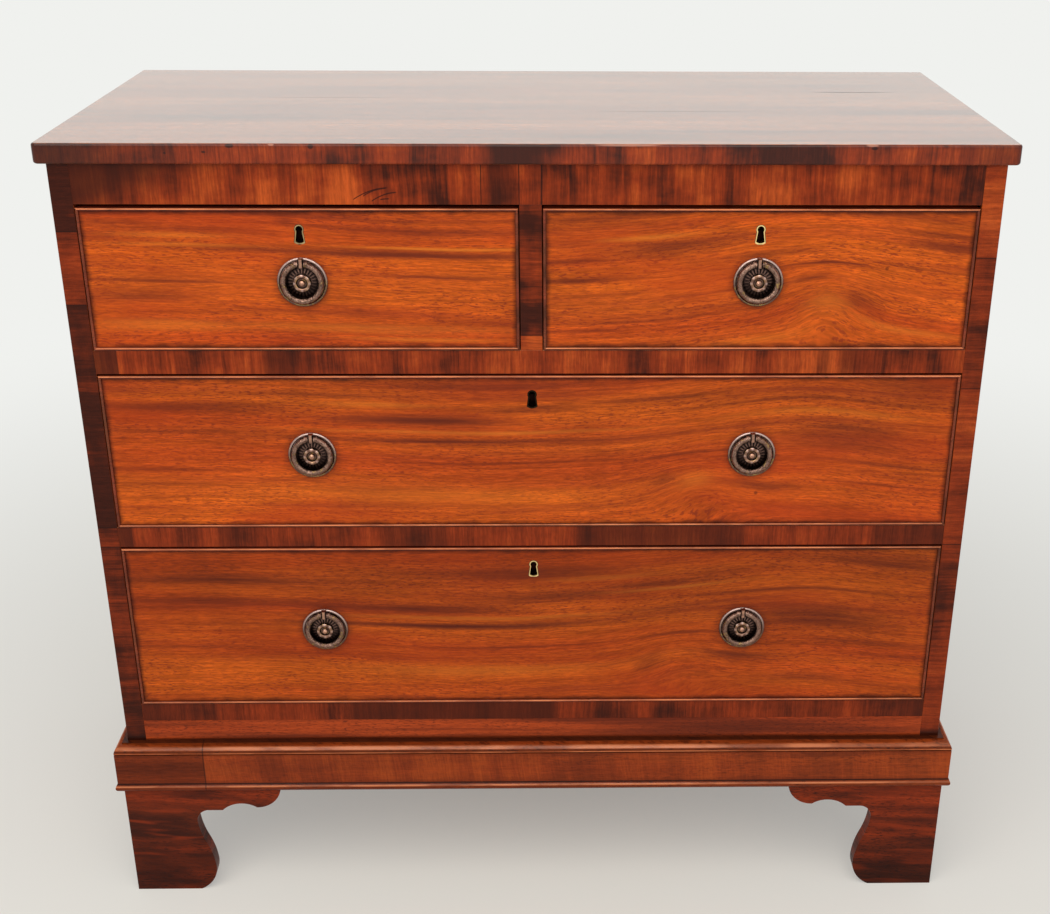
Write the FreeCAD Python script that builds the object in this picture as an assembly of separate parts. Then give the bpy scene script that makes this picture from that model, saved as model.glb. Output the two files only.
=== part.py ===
import FreeCAD, Part
import math
import os

# Chest of two short drawers over two long ones, on a moulded plinth with bracket feet.
# Millimetres. +X is right, +Y is towards the back and +Z is up. The origin is on the floor,
# under the middle of the chest's bounding box.

Vector = FreeCAD.Vector

# Two coordinates closer than this are the same place
SAME_PLACE = 1e-6

# Case
CASE_WIDTH = 928.0
CASE_DEPTH = 437.0
SIDE_THICKNESS = 21.0
TOP_THICKNESS = 20.0
TOP_SIDE_OVERHANG = 11.0
TOP_FRONT_OVERHANG = 7.0
TOP_BACK_OVERHANG = 3.0
TOP_CORNER_RADIUS = 6.0
TOP_EDGE_RADIUS = 2.8
BACK_BOARD_THICKNESS = 10.0
BACK_BOARD_COUNT = 5
BACK_BOARD_GAP = 0.6
BACK_REBATE = 8.0
BOTTOM_BOARD_THICKNESS = 18.0
HOUSING_DEPTH = 8.0

# Heights, from the floor up
FOOT_HEIGHT = 144.0
BEAD_HEIGHT = 9.0
BAND_HEIGHT = 40.0
MOULDING_HEIGHT = 11.0
BASE_STRIP_HEIGHT = 26.0
BOTTOM_RAIL_HEIGHT = 22.0
LOWER_OPENING_HEIGHT = 197.0
LOWER_RAIL_HEIGHT = 23.0
UPPER_OPENING_HEIGHT = 173.0
UPPER_RAIL_HEIGHT = 25.0
SHORT_OPENING_HEIGHT = 149.0
FRIEZE_HEIGHT = 40.0

# Rails, muntin and what the drawers run on
RAIL_DEPTH = 60.0
FRIEZE_DEPTH = 26.0
MUNTIN_WIDTH = 22.0
MUNTIN_DEPTH = 40.0
TENON_LENGTH = 8.0
TENON_SETBACK = 6.0
BASE_STRIP_THICKNESS = 20.0
BASE_STRIP_LAP = 15.0
RUNNER_WIDTH = 30.0
RUNNER_THICKNESS = 20.0
CENTRE_RUNNER_WIDTH = 70.0
GUIDE_HEIGHT = 24.0
KICKER_WIDTH = 24.0
STOP_WIDTH = 40.0
STOP_DEPTH = 18.0
STOP_HEIGHT = 4.0
STOP_CLEARANCE = 0.3
STOP_SHARES = (0.25, 0.75)

# Plinth and feet
PLINTH_THICKNESS = 14.0
BEAD_PROJECTION = 2.5
QUIRK = 1.2
NOSE_RETURN = 8.5
NOSE_STEP = 1.5
FOOT_INSET = 5.0
FOOT_THICKNESS = 16.0
FOOT_BASE_LENGTH = 75.0
FOOT_BULGE_LENGTH = 95.0
FOOT_BULGE_HEIGHT = 37.0
FOOT_TOE_FULLNESS = 0.85
FOOT_TOE_RISE = 0.45
FOOT_NECK_LENGTH = 79.5
FOOT_OGEE_FULLNESS = 0.66
FOOT_NECK_DROP = 47.5
FOOT_ARCH_DROP = 31.0
FOOT_HOLLOW_WIDTH = 12.5
FOOT_LEDGE_WIDTH = 18.0
FOOT_ARCH_WIDTH = 40.0
FOOT_ARCH_RISE = 9.0
FOOT_EAR_WIDTH = 29.0
FOOT_EAR_DROP = 27.5
REAR_BRACKET_BASE = 55.0
REAR_BRACKET_LENGTH = 125.0
REAR_BRACKET_DEPTH = 40.0
GLUE_BLOCK = 36.0
GLUE_BLOCK_FLOOR_GAP = 6.0
PLINTH_BLOCK_LENGTH = 60.0
PLINTH_BLOCK_SIZE = 24.0
PLINTH_BLOCK_SPACING = 220.0

# Drawers
DRAWER_SETBACK = 1.0
DRAWER_SIDE_CLEARANCE = 1.0
DRAWER_RUNNING_CLEARANCE = 0.3
LONG_DRAWER_TOP_GAP = 2.0
SHORT_DRAWER_TOP_GAP = 3.5
DRAWER_REAR_GAP = 12.0
DRAWER_FRONT_THICKNESS = 21.0
DRAWER_SIDE_THICKNESS = 9.0
DRAWER_BACK_THICKNESS = 9.0
DRAWER_BOTTOM_THICKNESS = 6.0
DRAWER_BOTTOM_RAISE = 7.0
DRAWER_SIDE_DROP = 5.0
DRAWER_BACK_DROP = 4.0
GROOVE_DEPTH = 4.5
DOVETAIL_LAP = 7.0
DOVETAIL_SLOPE = 1.0 / 6.0
DOVETAIL_PIN = 4.0
SHORT_DRAWER_TAILS = 3
LONG_DRAWER_TAILS = 4
COCK_BEAD_WIDTH = 3.0
COCK_BEAD_DEPTH = 5.0
COCK_BEAD_PROJECTION = 2.5

# Locks and keyholes
LOCK_WIDTH = 56.0
LOCK_HEIGHT = 40.0
LOCK_THICKNESS = 11.0
BOLT_WIDTH = 24.0
BOLT_HEIGHT = 13.0
BOLT_THICKNESS = 5.0
BOLT_TRAVEL = 7.0
BOLT_RECESS = 0.5
BOLT_CLEARANCE = 0.3
MORTISE_CLEARANCE = 1.0
KEYHOLE_DROP = 26.3
KEYHOLE_ROUND_RADIUS = 3.4
KEYHOLE_WAIST_WIDTH = 4.8
KEYHOLE_BASE_WIDTH = 8.4
KEYHOLE_BASE_ROUNDING = 0.4
KEYHOLE_HEIGHT = 17.2
LINER_THICKNESS = 1.5
LINER_DEPTH = 6.0
KEY_PIN_RADIUS = 1.3
KEY_WELL_DEPTH = 6.0

# Ring handles
HANDLE_SPACING = 460.0
HANDLE_DROP = 3.0
PLATE_RADIUS = 25.0
PLATE_THICKNESS = 1.3
PLATE_RIM_WIDTH = 3.0
PLATE_RIM_HEIGHT = 2.8
DISH_RADIUS = 15.2
DISH_RISE = 1.1
FLUTE_COUNT = 24
FLUTE_RADIUS = 0.9
FLUTE_RUNOUT = 0.4
BOSS_RADIUS = 9.3
BOSS_HEIGHT = 4.6
BOSS_GROOVE = 3.0
BOSS_LOBES = 8
LOBE_CUT_RADIUS = 1.7
KNOB_RADIUS = 3.5
KNOB_HEIGHT = 6.2
STEM_RADIUS = 2.4
STEM_CLEARANCE = 0.15
STEM_SPARE = 2.0
NUT_RADIUS = 6.0
NUT_SIDES = 6
NUT_THICKNESS = 4.0
RING_RADIUS = 18.85
RING_TUBE_RADIUS = 2.85
RING_STANDOFF = 4.9
LUG_WIDTH = 5.2
LUG_FOOT_REACH = 3.0
LUG_HEAD_REACH = 5.8
LUG_SHOULDER = 6.5
LUG_HEIGHT = 8.1
LUG_SIDE_CLEARANCE = 0.35
COLLAR_RADIUS = 3.2
COLLAR_LENGTH = 1.1
COLLAR_GAP = 0.5
PIN_RADIUS = 1.25
PIN_CLEARANCE = 0.06
PIN_LENGTH = 2.3

# Levels
BAND_FOOT = FOOT_HEIGHT + BEAD_HEIGHT
BAND_TOP = BAND_FOOT + BAND_HEIGHT
PLINTH_TOP = BAND_TOP + MOULDING_HEIGHT
BOTTOM_RAIL_FOOT = PLINTH_TOP + BASE_STRIP_HEIGHT
LOWER_OPENING_FOOT = BOTTOM_RAIL_FOOT + BOTTOM_RAIL_HEIGHT
LOWER_RAIL_FOOT = LOWER_OPENING_FOOT + LOWER_OPENING_HEIGHT
UPPER_OPENING_FOOT = LOWER_RAIL_FOOT + LOWER_RAIL_HEIGHT
UPPER_RAIL_FOOT = UPPER_OPENING_FOOT + UPPER_OPENING_HEIGHT
SHORT_OPENING_FOOT = UPPER_RAIL_FOOT + UPPER_RAIL_HEIGHT
FRIEZE_FOOT = SHORT_OPENING_FOOT + SHORT_OPENING_HEIGHT
CASE_TOP = FRIEZE_FOOT + FRIEZE_HEIGHT

# Widths and depths that follow. Depths are counted from the front of the case.
HALF_CASE = CASE_WIDTH / 2
HALF_OPENING = HALF_CASE - SIDE_THICKNESS
HALF_MUNTIN = MUNTIN_WIDTH / 2
FRONT_REACH = max(PLINTH_THICKNESS + BEAD_PROJECTION, TOP_FRONT_OVERHANG)
REAR_REACH = CASE_DEPTH + TOP_BACK_OVERHANG
CASE_FRONT = (FRONT_REACH - REAR_REACH) / 2
BACK_INNER = CASE_DEPTH - BACK_BOARD_THICKNESS
DRAWER_FRONT_BACK = DRAWER_SETBACK + DRAWER_FRONT_THICKNESS
DRAWER_END = BACK_INNER - DRAWER_REAR_GAP
FOOT_OUTER = HALF_CASE + PLINTH_THICKNESS - FOOT_INSET
FOOT_FRONT = FOOT_INSET - PLINTH_THICKNESS


def at_depth(depth):
    """Y of a point that lies the given depth behind the front of the case."""
    return CASE_FRONT + depth


def same(a, b):
    return abs(a - b) < SAME_PLACE


def block(x0, x1, depth0, depth1, z0, z1):
    """A box between two widths, two depths and two heights."""
    corner = Vector(x0, at_depth(depth0), z0)
    return Part.makeBox(x1 - x0, depth1 - depth0, z1 - z0, corner)


def line(a, b):
    return Part.LineSegment(a, b).toShape()


def arc(a, middle, b):
    return Part.Arc(a, middle, b).toShape()


def extruded(edges, along):
    return Part.Face(Part.Wire(edges)).extrude(along)


def polygon_prism(points, along):
    return Part.Face(Part.makePolygon(points + points[:1])).extrude(along)


def joined(shapes):
    """One solid from shapes that overlap or share faces."""
    whole = shapes[0].fuse(shapes[1:])
    return whole.removeSplitter()


def mirrored(shape):
    """The same shape on the other side of the chest's middle plane."""
    return shape.mirror(Vector(0, 0, 0), Vector(1, 0, 0))


def solid_of(shape):
    """The one solid that a boolean result holds."""
    return shape.Solids[0]


def write(name, *shapes):
    solids = [solid for shape in shapes for solid in shape.Solids]
    whole = solids[0] if len(solids) == 1 else Part.makeCompound(solids)
    whole.exportStep("parts/" + name + ".step")


# Rails and muntin

def tenoned_rail(z0, height, depth):
    """A rail between the sides, with a stub tenon at each end that stops short of the front."""
    body = block(-HALF_OPENING, HALF_OPENING, 0, depth, z0, z0 + height)
    reach = HALF_OPENING + TENON_LENGTH
    tongue = block(-reach, reach, TENON_SETBACK, depth, z0, z0 + height)
    return joined([body, tongue])


def muntin():
    body = block(-HALF_MUNTIN, HALF_MUNTIN, 0, MUNTIN_DEPTH, SHORT_OPENING_FOOT, FRIEZE_FOOT)
    tongue = block(-HALF_MUNTIN, HALF_MUNTIN, TENON_SETBACK, min(MUNTIN_DEPTH, FRIEZE_DEPTH),
                   SHORT_OPENING_FOOT - TENON_LENGTH, FRIEZE_FOOT + TENON_LENGTH)
    return joined([body, tongue])


# Runners, guide, kickers and stops

def runners():
    """Runners along the sides at three levels, and a runner with a guide between the short drawers."""
    shapes = []
    for opening_foot in (UPPER_OPENING_FOOT, SHORT_OPENING_FOOT):
        runner = block(HALF_OPENING - RUNNER_WIDTH, HALF_OPENING + HOUSING_DEPTH, RAIL_DEPTH, BACK_INNER,
                       opening_foot - RUNNER_THICKNESS, opening_foot)
        shapes += [mirrored(runner), runner]
    lowest = block(HALF_OPENING - RUNNER_WIDTH, HALF_OPENING, RAIL_DEPTH, BACK_INNER,
                   BOTTOM_RAIL_FOOT, LOWER_OPENING_FOOT)
    shapes += [mirrored(lowest), lowest]
    half_centre = CENTRE_RUNNER_WIDTH / 2
    shapes.append(block(-half_centre, half_centre, RAIL_DEPTH, BACK_INNER,
                        SHORT_OPENING_FOOT - RUNNER_THICKNESS, SHORT_OPENING_FOOT))
    shapes.append(block(-HALF_MUNTIN, HALF_MUNTIN, MUNTIN_DEPTH, BACK_INNER,
                        SHORT_OPENING_FOOT, SHORT_OPENING_FOOT + GUIDE_HEIGHT))
    return shapes


def kickers():
    """Strips under the top that keep the short drawers from tipping as they come out."""
    outer = block(HALF_OPENING - KICKER_WIDTH, HALF_OPENING, FRIEZE_DEPTH, BACK_INNER, FRIEZE_FOOT, CASE_TOP)
    centre = block(-KICKER_WIDTH / 2, KICKER_WIDTH / 2, max(FRIEZE_DEPTH, MUNTIN_DEPTH), BACK_INNER,
                   FRIEZE_FOOT, CASE_TOP)
    return [mirrored(outer), centre, outer]


def stops_for(x0, x1, opening_foot):
    """Two blocks on the rail that the back of a drawer front meets."""
    shapes = []
    for share in STOP_SHARES:
        centre = x0 + share * (x1 - x0)
        start = DRAWER_FRONT_BACK + STOP_CLEARANCE
        shapes.append(block(centre - STOP_WIDTH / 2, centre + STOP_WIDTH / 2, start, start + STOP_DEPTH,
                            opening_foot, opening_foot + STOP_HEIGHT))
    return shapes


# Case

def back_boards():
    width = 2 * (HALF_OPENING + BACK_REBATE)
    pitch = (width + BACK_BOARD_GAP) / BACK_BOARD_COUNT
    shapes = []
    for i in range(BACK_BOARD_COUNT):
        x0 = -width / 2 + i * pitch
        shapes.append(block(x0, x0 + pitch - BACK_BOARD_GAP, BACK_INNER, CASE_DEPTH, FOOT_HEIGHT, CASE_TOP))
    return shapes


def top_board():
    half = HALF_CASE + TOP_SIDE_OVERHANG
    board = block(-half, half, -TOP_FRONT_OVERHANG, REAR_REACH, CASE_TOP, CASE_TOP + TOP_THICKNESS)
    front = at_depth(-TOP_FRONT_OVERHANG)
    corners = [e for e in board.Edges
               if same(e.CenterOfMass.y, front) and same(abs(e.CenterOfMass.x), half)]
    board = board.makeFillet(TOP_CORNER_RADIUS, corners)
    back = at_depth(REAR_REACH)
    upper_rim = [e for e in board.Edges if same(e.CenterOfMass.z, CASE_TOP + TOP_THICKNESS)]
    lower_rim = [e for e in board.Edges
                 if same(e.CenterOfMass.z, CASE_TOP) and not same(e.CenterOfMass.y, back)]
    return board.makeFillet(min(TOP_EDGE_RADIUS, TOP_CORNER_RADIUS / 2), upper_rim + lower_rim)


def side_board(housed):
    """The right side, with housings and a back rebate cut by what fits into it."""
    board = block(HALF_OPENING, HALF_CASE, 0, CASE_DEPTH, FOOT_HEIGHT, CASE_TOP)
    rebate = block(HALF_OPENING, HALF_OPENING + BACK_REBATE, BACK_INNER, CASE_DEPTH, FOOT_HEIGHT, CASE_TOP)
    return solid_of(board.cut([rebate] + housed))


# Plinth

def plinth_profile(place):
    """Section of the plinth. place(out, z) gives a point that far out from the case."""
    p = PLINTH_THICKNESS
    bead_middle = (FOOT_HEIGHT + BAND_FOOT) / 2
    nose_height = MOULDING_HEIGHT - NOSE_STEP
    half_turn = math.sqrt(0.5)
    nose_middle = place(p - NOSE_RETURN * (1 - half_turn), BAND_TOP + nose_height * half_turn)
    nose_top = BAND_TOP + nose_height
    outline = [
        (0, PLINTH_TOP), (0, FOOT_HEIGHT), (p, FOOT_HEIGHT), (p, BAND_FOOT), (p, BAND_TOP - QUIRK),
        (p - QUIRK, BAND_TOP - QUIRK), (p - QUIRK, BAND_TOP), (p, BAND_TOP), (p - NOSE_RETURN, nose_top),
        (p - NOSE_RETURN, PLINTH_TOP),
    ]
    points = [place(out, z) for out, z in outline]
    edges = []
    for start, end in zip(points, points[1:] + points[:1]):
        edges.append(line(start, end))
    edges[2] = arc(points[2], place(p + BEAD_PROJECTION, bead_middle), points[3])
    edges[7] = arc(points[7], nose_middle, points[8])
    return edges


def plinth_front():
    reach = HALF_CASE + 2 * PLINTH_THICKNESS
    edges = plinth_profile(lambda out, z: Vector(-reach, at_depth(-out), z))
    moulded = extruded(edges, Vector(2 * reach, 0, 0))
    spread = 2 * PLINTH_THICKNESS
    back, front = at_depth(0), at_depth(-spread)
    plan = [Vector(-HALF_CASE, back, 0), Vector(HALF_CASE, back, 0),
            Vector(HALF_CASE + spread, front, 0), Vector(-HALF_CASE - spread, front, 0)]
    return solid_of(moulded.common(polygon_prism(plan, Vector(0, 0, CASE_TOP))))


def plinth_side():
    spread = 2 * PLINTH_THICKNESS
    edges = plinth_profile(lambda out, z: Vector(HALF_CASE + out, at_depth(-spread), z))
    moulded = extruded(edges, Vector(0, CASE_DEPTH + spread, 0))
    plan = [Vector(HALF_CASE, at_depth(0), 0), Vector(HALF_CASE + spread, at_depth(-spread), 0),
            Vector(HALF_CASE + spread, at_depth(CASE_DEPTH), 0), Vector(HALF_CASE, at_depth(CASE_DEPTH), 0)]
    return solid_of(moulded.common(polygon_prism(plan, Vector(0, 0, CASE_TOP))))


# Feet

def bracket_outline(place):
    """Outline of a shaped bracket. place(along, z) gives a point that far from the outer edge."""
    neck_z = FOOT_HEIGHT - FOOT_NECK_DROP
    arch_z = FOOT_HEIGHT - FOOT_ARCH_DROP
    waist = ((FOOT_BULGE_LENGTH + FOOT_NECK_LENGTH) / 2, (FOOT_BULGE_HEIGHT + neck_z) / 2)
    hollow_end = FOOT_NECK_LENGTH + FOOT_HOLLOW_WIDTH
    ledge_end = hollow_end + FOOT_LEDGE_WIDTH
    arch_end = ledge_end + FOOT_ARCH_WIDTH
    ear_foot = FOOT_HEIGHT - FOOT_EAR_DROP
    ear_end = arch_end + FOOT_EAR_WIDTH
    bow = math.sqrt(0.5)
    swell = FOOT_BULGE_LENGTH - FOOT_BASE_LENGTH
    taper = FOOT_BULGE_LENGTH - waist[0]
    bulge = place(FOOT_BULGE_LENGTH, FOOT_BULGE_HEIGHT)
    neck = place(FOOT_NECK_LENGTH, neck_z)
    hollow = place(hollow_end, arch_z)
    ledge = place(ledge_end, arch_z)
    arch = place(arch_end, ear_foot)
    return [
        line(place(0, 0), place(FOOT_BASE_LENGTH, 0)),
        arc(place(FOOT_BASE_LENGTH, 0),
            place(FOOT_BASE_LENGTH + swell * FOOT_TOE_FULLNESS, FOOT_BULGE_HEIGHT * FOOT_TOE_RISE), bulge),
        arc(bulge, place(waist[0] + taper * FOOT_OGEE_FULLNESS, (FOOT_BULGE_HEIGHT + waist[1]) / 2),
            place(*waist)),
        arc(place(*waist),
            place(FOOT_NECK_LENGTH + taper * (1 - FOOT_OGEE_FULLNESS), (waist[1] + neck_z) / 2), neck),
        arc(neck, place(FOOT_NECK_LENGTH + FOOT_HOLLOW_WIDTH * (1 - bow), neck_z + (arch_z - neck_z) * bow),
            hollow),
        line(hollow, ledge),
        arc(ledge, place((ledge_end + arch_end) / 2, arch_z + FOOT_ARCH_RISE), arch),
        arc(arch, place(arch_end + FOOT_EAR_WIDTH * bow, ear_foot + FOOT_EAR_DROP * (1 - bow)),
            place(ear_end, FOOT_HEIGHT)),
        line(place(ear_end, FOOT_HEIGHT), place(0, FOOT_HEIGHT)),
        line(place(0, FOOT_HEIGHT), place(0, 0)),
    ]


def bracket_length():
    return FOOT_NECK_LENGTH + FOOT_HOLLOW_WIDTH + FOOT_LEDGE_WIDTH + FOOT_ARCH_WIDTH + FOOT_EAR_WIDTH


def front_foot():
    """Right front foot: a front and a side bracket, mitred at the corner."""
    length = bracket_length()
    front = extruded(bracket_outline(lambda along, z: Vector(FOOT_OUTER - along, at_depth(FOOT_FRONT), z)),
                     Vector(0, FOOT_THICKNESS, 0))
    side = extruded(bracket_outline(lambda along, z: Vector(FOOT_OUTER, at_depth(FOOT_FRONT + along), z)),
                    Vector(-FOOT_THICKNESS, 0, 0))
    corner = Vector(FOOT_OUTER, at_depth(FOOT_FRONT), 0)
    inner = corner + Vector(-FOOT_THICKNESS, FOOT_THICKNESS, 0)
    front_plan = [corner, inner, inner - Vector(length, 0, 0), corner - Vector(length + FOOT_THICKNESS, 0, 0)]
    side_plan = [corner, inner, inner + Vector(0, length, 0), corner + Vector(0, length + FOOT_THICKNESS, 0)]
    up = Vector(0, 0, FOOT_HEIGHT)
    return [solid_of(front.common(polygon_prism(front_plan, up))),
            solid_of(side.common(polygon_prism(side_plan, up)))]


def rear_foot():
    """Right rear foot: a shaped side bracket and a plain back bracket."""
    side = extruded(bracket_outline(lambda along, z: Vector(FOOT_OUTER, at_depth(CASE_DEPTH - along), z)),
                    Vector(-FOOT_THICKNESS, 0, 0))
    inner = FOOT_OUTER - FOOT_THICKNESS
    outline = [(0, 0), (REAR_BRACKET_BASE, 0), (REAR_BRACKET_LENGTH, FOOT_HEIGHT - REAR_BRACKET_DEPTH),
               (REAR_BRACKET_LENGTH, FOOT_HEIGHT), (0, FOOT_HEIGHT)]
    points = [Vector(inner - along, at_depth(CASE_DEPTH - FOOT_THICKNESS), z) for along, z in outline]
    return [side, polygon_prism(points, Vector(0, FOOT_THICKNESS, 0))]


def glue_blocks():
    """Upright blocks in the foot corners, and blocks behind the plinth under the base strip."""
    inner = FOOT_OUTER - FOOT_THICKNESS
    shapes = []
    for start in (FOOT_FRONT + FOOT_THICKNESS, CASE_DEPTH - FOOT_THICKNESS - GLUE_BLOCK):
        corner = block(inner - GLUE_BLOCK, inner, start, start + GLUE_BLOCK,
                       GLUE_BLOCK_FLOOR_GAP, FOOT_HEIGHT)
        shapes += [mirrored(corner), corner]
    strip_foot = PLINTH_TOP - BASE_STRIP_LAP
    for centre in (-PLINTH_BLOCK_SPACING, 0, PLINTH_BLOCK_SPACING):
        shapes.append(block(centre - PLINTH_BLOCK_LENGTH / 2, centre + PLINTH_BLOCK_LENGTH / 2,
                            0, PLINTH_BLOCK_SIZE, strip_foot - PLINTH_BLOCK_SIZE, strip_foot))
    return shapes


# Drawer joinery

def tails(x0, x1, root, tip, z0, z1, count):
    """Dovetail tails between two heights, narrow at depth root and wide at depth tip."""
    pitch = (z1 - z0) / count
    half_tip = (pitch - DOVETAIL_PIN) / 2
    half_root = half_tip - abs(tip - root) * DOVETAIL_SLOPE
    shapes = []
    for i in range(count):
        centre = z0 + (i + 0.5) * pitch
        corners = [(root, centre - half_root), (tip, centre - half_tip),
                   (tip, centre + half_tip), (root, centre + half_root)]
        points = [Vector(x0, at_depth(depth), z) for depth, z in corners]
        shapes.append(polygon_prism(points, Vector(x1 - x0, 0, 0)))
    return shapes


def drawer_side(x0, x1, z0, z1, back_foot, back_top, count, bottom):
    """A drawer side with tails at both ends and a groove for the bottom."""
    tip = DRAWER_SETBACK + DOVETAIL_LAP
    back_front = DRAWER_END - DRAWER_BACK_THICKNESS
    board = block(x0, x1, tip, DRAWER_END, z0, z1)
    front_zone = block(x0, x1, tip, DRAWER_FRONT_BACK, z0, z1)
    rear_zone = block(x0, x1, back_front, DRAWER_END, back_foot, back_top)
    front_pins = front_zone.cut(tails(x0, x1, DRAWER_FRONT_BACK, tip, z0, z1, count))
    rear_pins = rear_zone.cut(tails(x0, x1, back_front, DRAWER_END, back_foot, back_top, count))
    return solid_of(board.cut([front_pins, rear_pins, bottom]))


def bead_strip(place, along, mitre):
    """One strip with a rounded nose. place(across, depth) gives a point of its section."""
    w = COCK_BEAD_WIDTH
    back = DRAWER_SETBACK + COCK_BEAD_DEPTH
    nose = DRAWER_SETBACK - COCK_BEAD_PROJECTION
    shoulder = nose + w / 2
    a, b, c, d = place(0, back), place(w, back), place(w, shoulder), place(0, shoulder)
    strip = extruded([line(a, b), line(b, c), arc(c, place(w / 2, nose), d), line(d, a)], along)
    plan = [Vector(x, at_depth(nose), z) for x, z in mitre]
    return solid_of(strip.common(polygon_prism(plan, Vector(0, back - nose, 0))))


def cock_beads(x0, x1, z0, z1):
    """Four mitred strips, set into the edges of a drawer front."""
    w = COCK_BEAD_WIDTH
    shapes = []
    for z, inward in ((z0, 1), (z1, -1)):
        inner = z + inward * w
        shapes.append(bead_strip(lambda u, d: Vector(x0, at_depth(d), z + inward * u), Vector(x1 - x0, 0, 0),
                                 [(x0, z), (x1, z), (x1 - w, inner), (x0 + w, inner)]))
    for x, inward in ((x0, 1), (x1, -1)):
        inner = x + inward * w
        shapes.append(bead_strip(lambda u, d: Vector(x + inward * u, at_depth(d), z0), Vector(0, 0, z1 - z0),
                                 [(x, z0), (x, z1), (inner, z1 - w), (inner, z0 + w)]))
    return shapes


# Locks

def keyhole(x, z, grow, depth0, depth1):
    """A keyhole-shaped prism: a round head over a waist that widens to a rounded base."""
    radius = KEYHOLE_ROUND_RADIUS + grow
    half_waist = KEYHOLE_WAIST_WIDTH / 2 + grow
    half_base = KEYHOLE_BASE_WIDTH / 2 + grow
    head_z = z + KEYHOLE_HEIGHT / 2 - KEYHOLE_ROUND_RADIUS
    base_z = z - KEYHOLE_HEIGHT / 2 - grow
    corner_z = base_z + half_base * KEYHOLE_BASE_ROUNDING
    y = at_depth(depth0)
    along = Vector(0, depth1 - depth0, 0)
    head = Part.makeCylinder(radius, depth1 - depth0, Vector(x, y, head_z), Vector(0, 1, 0))
    a, b = Vector(x - half_waist, y, head_z), Vector(x + half_waist, y, head_z)
    c, d = Vector(x + half_base, y, corner_z), Vector(x - half_base, y, corner_z)
    slot = extruded([line(a, b), line(b, c), arc(c, Vector(x, y, base_z), d), line(d, a)], along)
    return joined([head, slot])


def lock_case(x, z_top, key_z):
    """Box lock with a pocket for its bolt and a round well with a pin for the key."""
    front = DRAWER_FRONT_BACK - LOCK_THICKNESS
    half = LOCK_WIDTH / 2
    case = block(x - half, x + half, front, DRAWER_FRONT_BACK, z_top - LOCK_HEIGHT, z_top)
    middle = front + LOCK_THICKNESS / 2
    half_width = BOLT_WIDTH / 2 + BOLT_CLEARANCE
    half_thick = BOLT_THICKNESS / 2 + BOLT_CLEARANCE
    pocket = block(x - half_width, x + half_width, middle - half_thick, middle + half_thick,
                   z_top - BOLT_RECESS - BOLT_HEIGHT - BOLT_CLEARANCE, z_top)
    head_z = key_z + KEYHOLE_HEIGHT / 2 - KEYHOLE_ROUND_RADIUS
    start = Vector(x, at_depth(front), head_z)
    well = Part.makeCylinder(KEYHOLE_ROUND_RADIUS, KEY_WELL_DEPTH, start, Vector(0, 1, 0))
    pin = Part.makeCylinder(KEY_PIN_RADIUS, KEY_WELL_DEPTH, start, Vector(0, 1, 0))
    return case, solid_of(case.cut([pocket, well.cut(pin)]))


def lock_bolt(x, z_top):
    middle = DRAWER_FRONT_BACK - LOCK_THICKNESS / 2
    top = z_top - BOLT_RECESS
    half, half_thick = BOLT_WIDTH / 2, BOLT_THICKNESS / 2
    return block(x - half, x + half, middle - half_thick, middle + half_thick, top - BOLT_HEIGHT, top)


def bolt_mortise(x, rail_foot):
    """Space that a raised bolt takes in the rail above it."""
    middle = DRAWER_FRONT_BACK - LOCK_THICKNESS / 2
    half_width = BOLT_WIDTH / 2 + MORTISE_CLEARANCE
    half_thick = BOLT_THICKNESS / 2 + MORTISE_CLEARANCE
    return block(x - half_width, x + half_width, middle - half_thick, middle + half_thick,
                 rail_foot, rail_foot + BOLT_TRAVEL)


# Ring handles. Heights above the drawer face are counted outwards, towards -Y.

def turned(x, z, edges_of):
    """A solid turned about the axis of a handle from an outline of radius and height."""
    def place(radius, height):
        return Vector(x + radius, at_depth(DRAWER_SETBACK - height), z)

    face = Part.Face(Part.Wire(edges_of(place)))
    return face.revolve(Vector(x, at_depth(DRAWER_SETBACK), z), Vector(0, 1, 0), 360)


def outward_cylinder(x, z, radius, height0, height1):
    return Part.makeCylinder(radius, height1 - height0, Vector(x, at_depth(DRAWER_SETBACK - height0), z),
                             Vector(0, -1, 0))


def plate_outline(place):
    seat = PLATE_THICKNESS + DISH_RISE
    bore = STEM_RADIUS + STEM_CLEARANCE
    rim_inner = PLATE_RADIUS - PLATE_RIM_WIDTH
    points = [place(bore, 0), place(PLATE_RADIUS, 0), place(PLATE_RADIUS, PLATE_THICKNESS / 2),
              place(rim_inner, PLATE_THICKNESS), place(DISH_RADIUS, PLATE_THICKNESS),
              place(BOSS_RADIUS, seat), place(bore, seat)]
    edges = [line(a, b) for a, b in zip(points, points[1:] + points[:1])]
    edges[2] = arc(points[2], place(PLATE_RADIUS - PLATE_RIM_WIDTH / 2, PLATE_RIM_HEIGHT), points[3])
    return edges


def handle_lug(x, z):
    """Round-fronted tongue that reaches from the rim of the plate past the pins of the ring."""
    half = LUG_WIDTH / 2
    foot_z = z + RING_RADIUS - LUG_FOOT_REACH

    def place(across, height):
        return Vector(x + across, at_depth(DRAWER_SETBACK - height), foot_z)

    root = PLATE_THICKNESS / 2
    a, b = place(-half, root), place(half, root)
    c, d = place(half, LUG_SHOULDER), place(-half, LUG_SHOULDER)
    outline = [line(a, b), line(b, c), arc(c, place(0, LUG_HEIGHT), d), line(d, a)]
    return extruded(outline, Vector(0, 0, LUG_FOOT_REACH + LUG_HEAD_REACH))


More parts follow.
